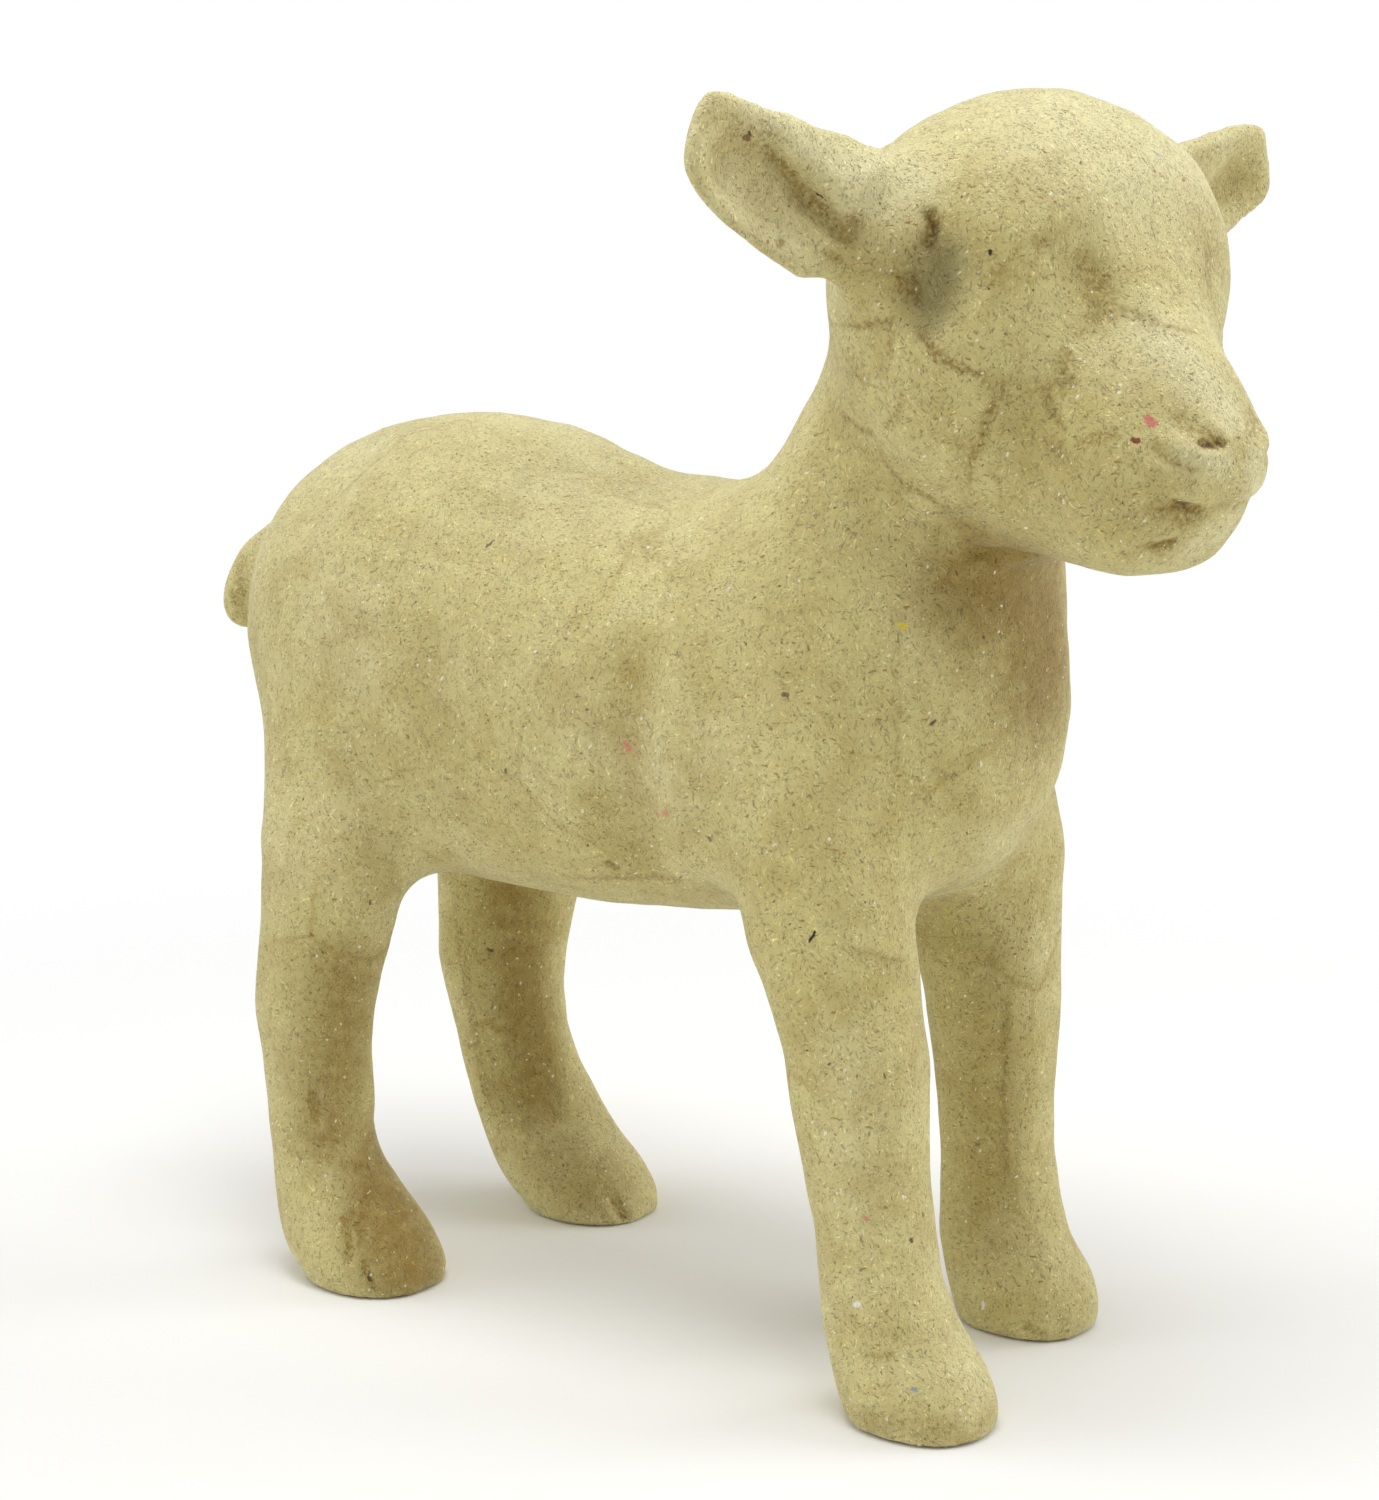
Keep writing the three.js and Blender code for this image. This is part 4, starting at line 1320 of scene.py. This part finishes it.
@dataclass(frozen=True)
class KraftPaper:
    """The finish of bare kraft paper: straw-coloured, fibrous, flecked and stained, with painted light and
    shade on tops, ridges, hollows and creases. In millimetres.
    """

    straw: Colour = (0.615, 0.54, 0.225)
    brown: Colour = (0.41, 0.3, 0.08)
    pale: Colour = (0.8, 0.745, 0.45)
    dark: Colour = (0.1, 0.06, 0.018)
    hair: Colour = (0.34, 0.21, 0.06)
    stain_and_painted_light: Colour = (0.3, 0.2, 0.045)
    smudge: Colour = (0.14, 0.118, 0.04)
    # Patches and sheets
    patches: tuple[Patches, ...] = (
        Patches(30.0, (0.42, 0.72), 0.3, pale),
        Patches(9.0, (0.4, 0.7), 0.4, brown),
        Patches(2.6, (0.42, 0.75), 0.25, brown),
    )
    sheet_size: float = 44.0
    sheet_wander: float = 16.0
    sheet_shade: float = 0.1
    edge_width: float = 0.7
    edge_shade: float = 0.6
    # Painted light on tops, painted shade in hollows, painted highlights on ridges, and soiling with
    # painted shade
    top_facing: tuple[float, float] = (0.0, 0.9)
    painted_top_light: float = 0.25
    hollow_depth: tuple[float, float] = (0.0, 0.8)
    painted_hollow_shade: float = 0.4
    ridge_depth: tuple[float, float] = (-0.5, -1.6)
    painted_ridge_highlight: float = 0.15
    browning_and_shade_per_mm: float = 0.4
    paste_per_mm: float = 1.4
    paste_range: tuple[float, float] = (0.3, 0.7)
    least_grime_and_shade: float = 0.5
    darkest_paste_and_shade: tuple[float, float] = (0.85, 1.7)
    # Fibres, specks and glints
    bends_per_mm: float = 0.35
    bend: float = 1.8
    fibre: Grains = Grains((0.0, 0.0, 0.0), 5.0, 0.42, 0.15, 0.85)
    fibre_turns: tuple[Point, ...] = (
        (0.0, 0.2, 0.1),
        (0.3, 1.45, 0.2),
        (0.1, 0.75, 0.3),
        (0.2, -0.8, -0.2),
        (0.5, 0.3, 0.9),
        (0.9, -0.4, -1.0),
    )
    fibre_tone: float = 0.63
    fibre_tone_range: float = 0.78
    fibre_height: float = 0.07
    swells_per_mm: float = 0.45
    swell_height: float = 0.5
    specks: tuple[Grains, ...] = (
        Grains((1.1, 0.5, -0.3), 2.4, 1.1, 0.2, 0.8, (0.35, 0.19, 0.045)),
        Grains((0.7, 0.1, 0.9), 2.4, 1.9, 0.18, 0.6, (0.1, 0.06, 0.015)),
        Grains((0.2, 1.3, 0.4), 2.4, 6.0, 0.3, 0.5, (0.09, 0.055, 0.018)),
        Grains((0.4, 0.9, 0.2), 14.0, 2.4, 0.13, 0.8, hair),
        Grains((1.2, -0.3, 0.7), 14.0, 2.4, 0.13, 0.8, hair),
        Grains((-0.5, 0.2, 1.3), 10.0, 2.6, 0.13, 0.7, (0.9, 0.86, 0.6)),
    )
    glints: Grains = Grains((0.2, 0.9, 0.4), 2.0, 1.3, 0.2, 0.55, (0.88, 0.85, 0.65))
    ragged_per_mm: float = 1.2
    ragged: float = 0.8
    # Shine
    roughness: float = 0.75
    glint_gloss: float = 0.35
    gloss: float = 0.3
    sheen: float = 0.25
    sheen_roughness: float = 0.45
    sheen_tint: Colour = (0.9, 0.95, 0.84)

    def bare(self, work: Dressing) -> Socket:
        """The paper's own uneven colour, sheet by sheet.

        Args:
            work: The material in the making.

        Returns:
            The colour.
        """
        graph = work.graph
        colour = self.straw
        for patches in self.patches:
            colour = graph.tinted(colour, work.patched(patches), patches.strength, patches.tint)
        plugs = {"Place": work.place, "Size": self.sheet_size, "Wander": self.sheet_wander}
        laps = graph.group(work.effects.laps, plugs | {"Width": self.edge_width})
        colour = graph.tinted(colour, laps.outputs["Sheet"], self.sheet_shade, self.brown)
        return graph.tinted(colour, laps.outputs["Line"], self.edge_shade, self.brown)

    def aged(self, work: Dressing, colour: Socket) -> Socket:
        """Paint the upward faces and ridges paler and the hollows darker as painted light and shade, lay on
        the painted highlights, then darken the pasted edges, stains, smudges and the painted shade of
        creases, throat and far legs.

        Args:
            work: The material in the making.
            colour: The colour so far.

        Returns:
            The colour after it.
        """
        graph = work.graph
        up = graph.node("ShaderNodeSeparateXYZ", {"Vector": graph.outward()}).outputs["Z"]
        depth = graph.layer(HOLLOW_LAYER)
        # Painted light and shade: upward faces paler, hollows browner, ridges paler
        colour = graph.tinted(colour, graph.rise(up, *self.top_facing), self.painted_top_light, self.pale)
        colour = graph.tinted(colour, graph.rise(depth, *self.hollow_depth), self.painted_hollow_shade, self.brown)
        colour = graph.tinted(colour, graph.rise(depth, *self.ridge_depth), self.painted_ridge_highlight, self.pale)
        # Painted highlights on the lit places
        colour = graph.mix(graph.layer(GrimeAndLight.PAINTED_HIGHLIGHT.value), colour, self.pale)
        # Browning, with the painted shade of the throat, far legs and broad hollows
        cloudy = graph.plus(work.cloud(self.browning_and_shade_per_mm, detail=5.0), self.least_grime_and_shade)
        browning_and_shade = graph.times(graph.layer(GrimeAndLight.TAN.value), cloudy)
        colour = graph.mix(graph.rise(browning_and_shade, 0.0, 1.0), colour, self.stain_and_painted_light)
        # Paste stains, with painted shade in the creases and slits, darkest in the slits
        broken = graph.rise(work.cloud(self.paste_per_mm, detail=4.0), *self.paste_range)
        patchy = graph.plus(broken, self.least_grime_and_shade)
        paste = graph.times(graph.layer(GrimeAndLight.PASTE.value), patchy)
        colour = graph.mix(graph.rise(paste, 0.0, 1.0), colour, self.stain_and_painted_light)
        colour = graph.mix(graph.rise(paste, *self.darkest_paste_and_shade), colour, self.dark)
        return graph.mix(graph.layer(GrimeAndLight.SMUDGE.value), colour, self.smudge)

    def flecked(self, work: Dressing, colour: Socket) -> tuple[Socket, Socket, Socket]:
        """Strew the fibres, specks and pale glints.

        Args:
            work: The material in the making, its places a little bent so that no fibre is straight.
            colour: The colour so far.

        Returns:
            The colour after it, the relief in millimetres and the mask of the glints.
        """
        graph = work.graph
        relief = graph.times(work.cloud(self.swells_per_mm, detail=5.0), self.swell_height)
        for turn in self.fibre_turns:
            fibres = work.strewn(replace(self.fibre, turn=turn))
            spread = graph.times(fibres.outputs["Tone"], self.fibre_tone_range)
            tone = graph.plus(spread, self.fibre_tone)
            colour = graph.mix(fibres.outputs["Mask"], colour, graph.scaled(colour, tone))
            height = graph.times(fibres.outputs["Mask"], self.fibre_height)
            relief = graph.plus(relief, height)
        for grains in (*self.specks, self.glints):
            mask = work.strewn(grains).outputs["Mask"]
            colour = graph.tinted(colour, mask, grains.strength, grains.tint)
        return colour, relief, mask

    @staticmethod
    def marked(work: Dressing, colour: Socket, tracer: Tracer) -> Socket:
        """Put on the single specks that the photograph shows.

        Args:
            work: The material in the making, its places shaken a little so that the specks are ragged.
            colour: The colour so far.
            tracer: Finds places on the skin.

        Returns:
            The colour after it.
        """
        for mark in MARKS:
            start = tracer.under(mark.start)[0]
            end = tracer.under(mark.end)[0]
            if start is None or end is None:
                LOG.warning("mark at %s misses the skin", mark.start)
                continue
            plugs = {"Place": work.place, "From": tuple(start / MM), "To": tuple(end / MM)}
            spot = work.graph.group(work.effects.mark, plugs | {"Radius": mark.radius})
            colour = work.graph.tinted(colour, spot.outputs["Mask"], mark.strength, mark.tint.value)
        return colour

    def dress(self, obj: bpy.types.Object, effects: Effects, view: PhotoView) -> None:
        """Give the skin this finish.

        Args:
            obj: The skin.
            effects: The shared node groups.
            view: The viewpoint from which the marks were seen.
        """
        graph = new_material(obj.data, "kraft paper")
        work = Dressing(graph, effects, graph.place_in_mm())
        colour = self.aged(work, self.bare(work))
        colour, relief, glints = self.flecked(work.shaken(self.bends_per_mm, self.bend), colour)
        tracer = Tracer(view, search_tree(obj.data))
        colour = self.marked(work.shaken(self.ragged_per_mm, self.ragged), colour, tracer)
        smooth = graph.times(glints, self.glint_gloss)
        rough = graph.maths("SUBTRACT", self.roughness, smooth)
        plugs = {"Base Color": colour, "Normal": graph.relief(relief), "Roughness": rough}
        plugs |= {"Specular IOR Level": self.gloss, "Sheen Weight": self.sheen}
        plugs |= {"Sheen Roughness": self.sheen_roughness, "Sheen Tint": self.sheen_tint}
        graph.end(graph.node("ShaderNodeBsdfPrincipled", plugs))


@dataclass(frozen=True)
class Lamp:
    """A square soft lamp that points at the lamb. Its place is a direction seen from the camera."""

    name: str
    front: float
    right: float
    above: float
    power: float
    size: float
    distance: float = 1.2
    target: Point = (0.0, 0.0, 0.1)

    def hang(self, view: PhotoView) -> None:
        """Add the lamp to the scene.

        Args:
            view: The camera's viewpoint, which the lamp's place is measured from.
        """
        lamp = link(bpy.data.objects.new(self.name, bpy.data.lights.new(self.name, "AREA")))
        lamp.data.energy = self.power
        lamp.data.size = self.size
        level = Vector((view.back().x, view.back().y, 0.0)).normalized()
        direction = level * self.front + view.right() * self.right + Vector((0.0, 0.0, self.above))
        direction.normalize()
        lamp.location = Vector(self.target) + direction * self.distance
        lamp.rotation_mode = "QUATERNION"
        lamp.rotation_quaternion = direction.to_track_quat("Z", "Y")


@dataclass(frozen=True)
class Studio:
    """A white floor under a broad lamp, with lamps at both sides and over the head, and light all round."""

    floor_size: float = 6.0
    floor_colour: Colour = (0.93, 0.93, 0.92)
    white: Colour = (1.0, 1.0, 1.0)
    fade: tuple[float, float] = (0.12, 0.38)
    all_round: float = 0.515
    lamps: tuple[Lamp, ...] = (
        Lamp("overhead_lamp", 0.0, 0.0, 1.0, 1.3, 0.9),
        Lamp("right_lamp", -0.15, 1.0, 0.4, 5.6, 0.8),
        Lamp("left_lamp", -0.1, -1.0, 0.4, 3.3, 0.8),
        Lamp("head_lamp", 0.2, -0.1, 1.0, 2.3, 0.35, 0.6, (0.06, 0.0, 0.18)),
    )

    def add_floor(self) -> bpy.types.Object:
        """Lay the floor, which takes the lamb's shadow near it and is plain white further out.

        Returns:
            The floor object.
        """
        half = self.floor_size / 2
        mesh = bpy.data.meshes.new("floor")
        corners = [(-half, -half, 0.0), (half, -half, 0.0), (half, half, 0.0), (-half, half, 0.0)]
        mesh.from_pydata(corners, [], [(0, 1, 2, 3)])
        floor = link(bpy.data.objects.new("floor", mesh))
        graph = new_material(mesh, "floor")
        matte = graph.node("ShaderNodeBsdfDiffuse", {"Color": self.floor_colour})
        white = graph.node("ShaderNodeEmission", {"Color": self.white, "Strength": 1.0})
        spot = graph.node("ShaderNodeTexCoord").outputs["Object"]
        reach = graph.measure("LENGTH", spot, (0.0, 0.0, 0.0))
        outside = graph.times(graph.rise(reach, *self.fade), self.seen(graph))
        plugs = {0: outside, 1: matte.outputs[0], 2: white.outputs[0]}
        graph.end(graph.node("ShaderNodeMixShader", plugs))
        return floor

    @staticmethod
    def seen(graph: Graph) -> Socket:
        """One for rays that show the background itself, nought for rays that carry light."""
        rays = graph.node("ShaderNodeLightPath").outputs
        mirrored = graph.maths("MAXIMUM", rays["Is Glossy Ray"], rays["Is Transmission Ray"])
        return graph.maths("MAXIMUM", rays["Is Camera Ray"], mirrored)

    def add_light(self, view: PhotoView) -> None:
        """Set the light from all round and hang the lamps.

        Args:
            view: The camera's viewpoint, which the lamps hang beside.
        """
        world = bpy.data.worlds.new("studio")
        bpy.context.scene.world = world
        world.use_nodes = True
        graph = Graph(world.node_tree)
        extra = graph.times(self.seen(graph), 1.0 - self.all_round)
        strength = graph.plus(self.all_round, extra)
        sky = graph.node("ShaderNodeBackground", {"Color": self.white, "Strength": strength})
        graph.end(sky, "World")
        for lamp in self.lamps:
            lamp.hang(view)


def report(piece: bpy.types.Object) -> None:
    """Write a line on a finished piece to the log."""
    LOG.info("%s: %d corners", piece.name, len(piece.data.vertices))


def main() -> None:
    """Build the lamb's looks, the studio and the camera."""
    logging.basicConfig(level=logging.INFO, format="%(name)s: %(message)s")
    view = PhotoView()
    view.add_camera()
    effects = Effects()
    skin = PaperSkin(view).build()
    KraftPaper().dress(skin, effects, view)
    report(skin)
    for name in cad_nodes("sole_"):
        disc = BoardSole(name).build()
        GreyBoard().dress(disc, effects)
        report(disc)
    studio = Studio()
    report(studio.add_floor())
    studio.add_light(view)
    bpy.context.scene.view_settings.view_transform = "Standard"


if __name__ == "__main__":
    main()
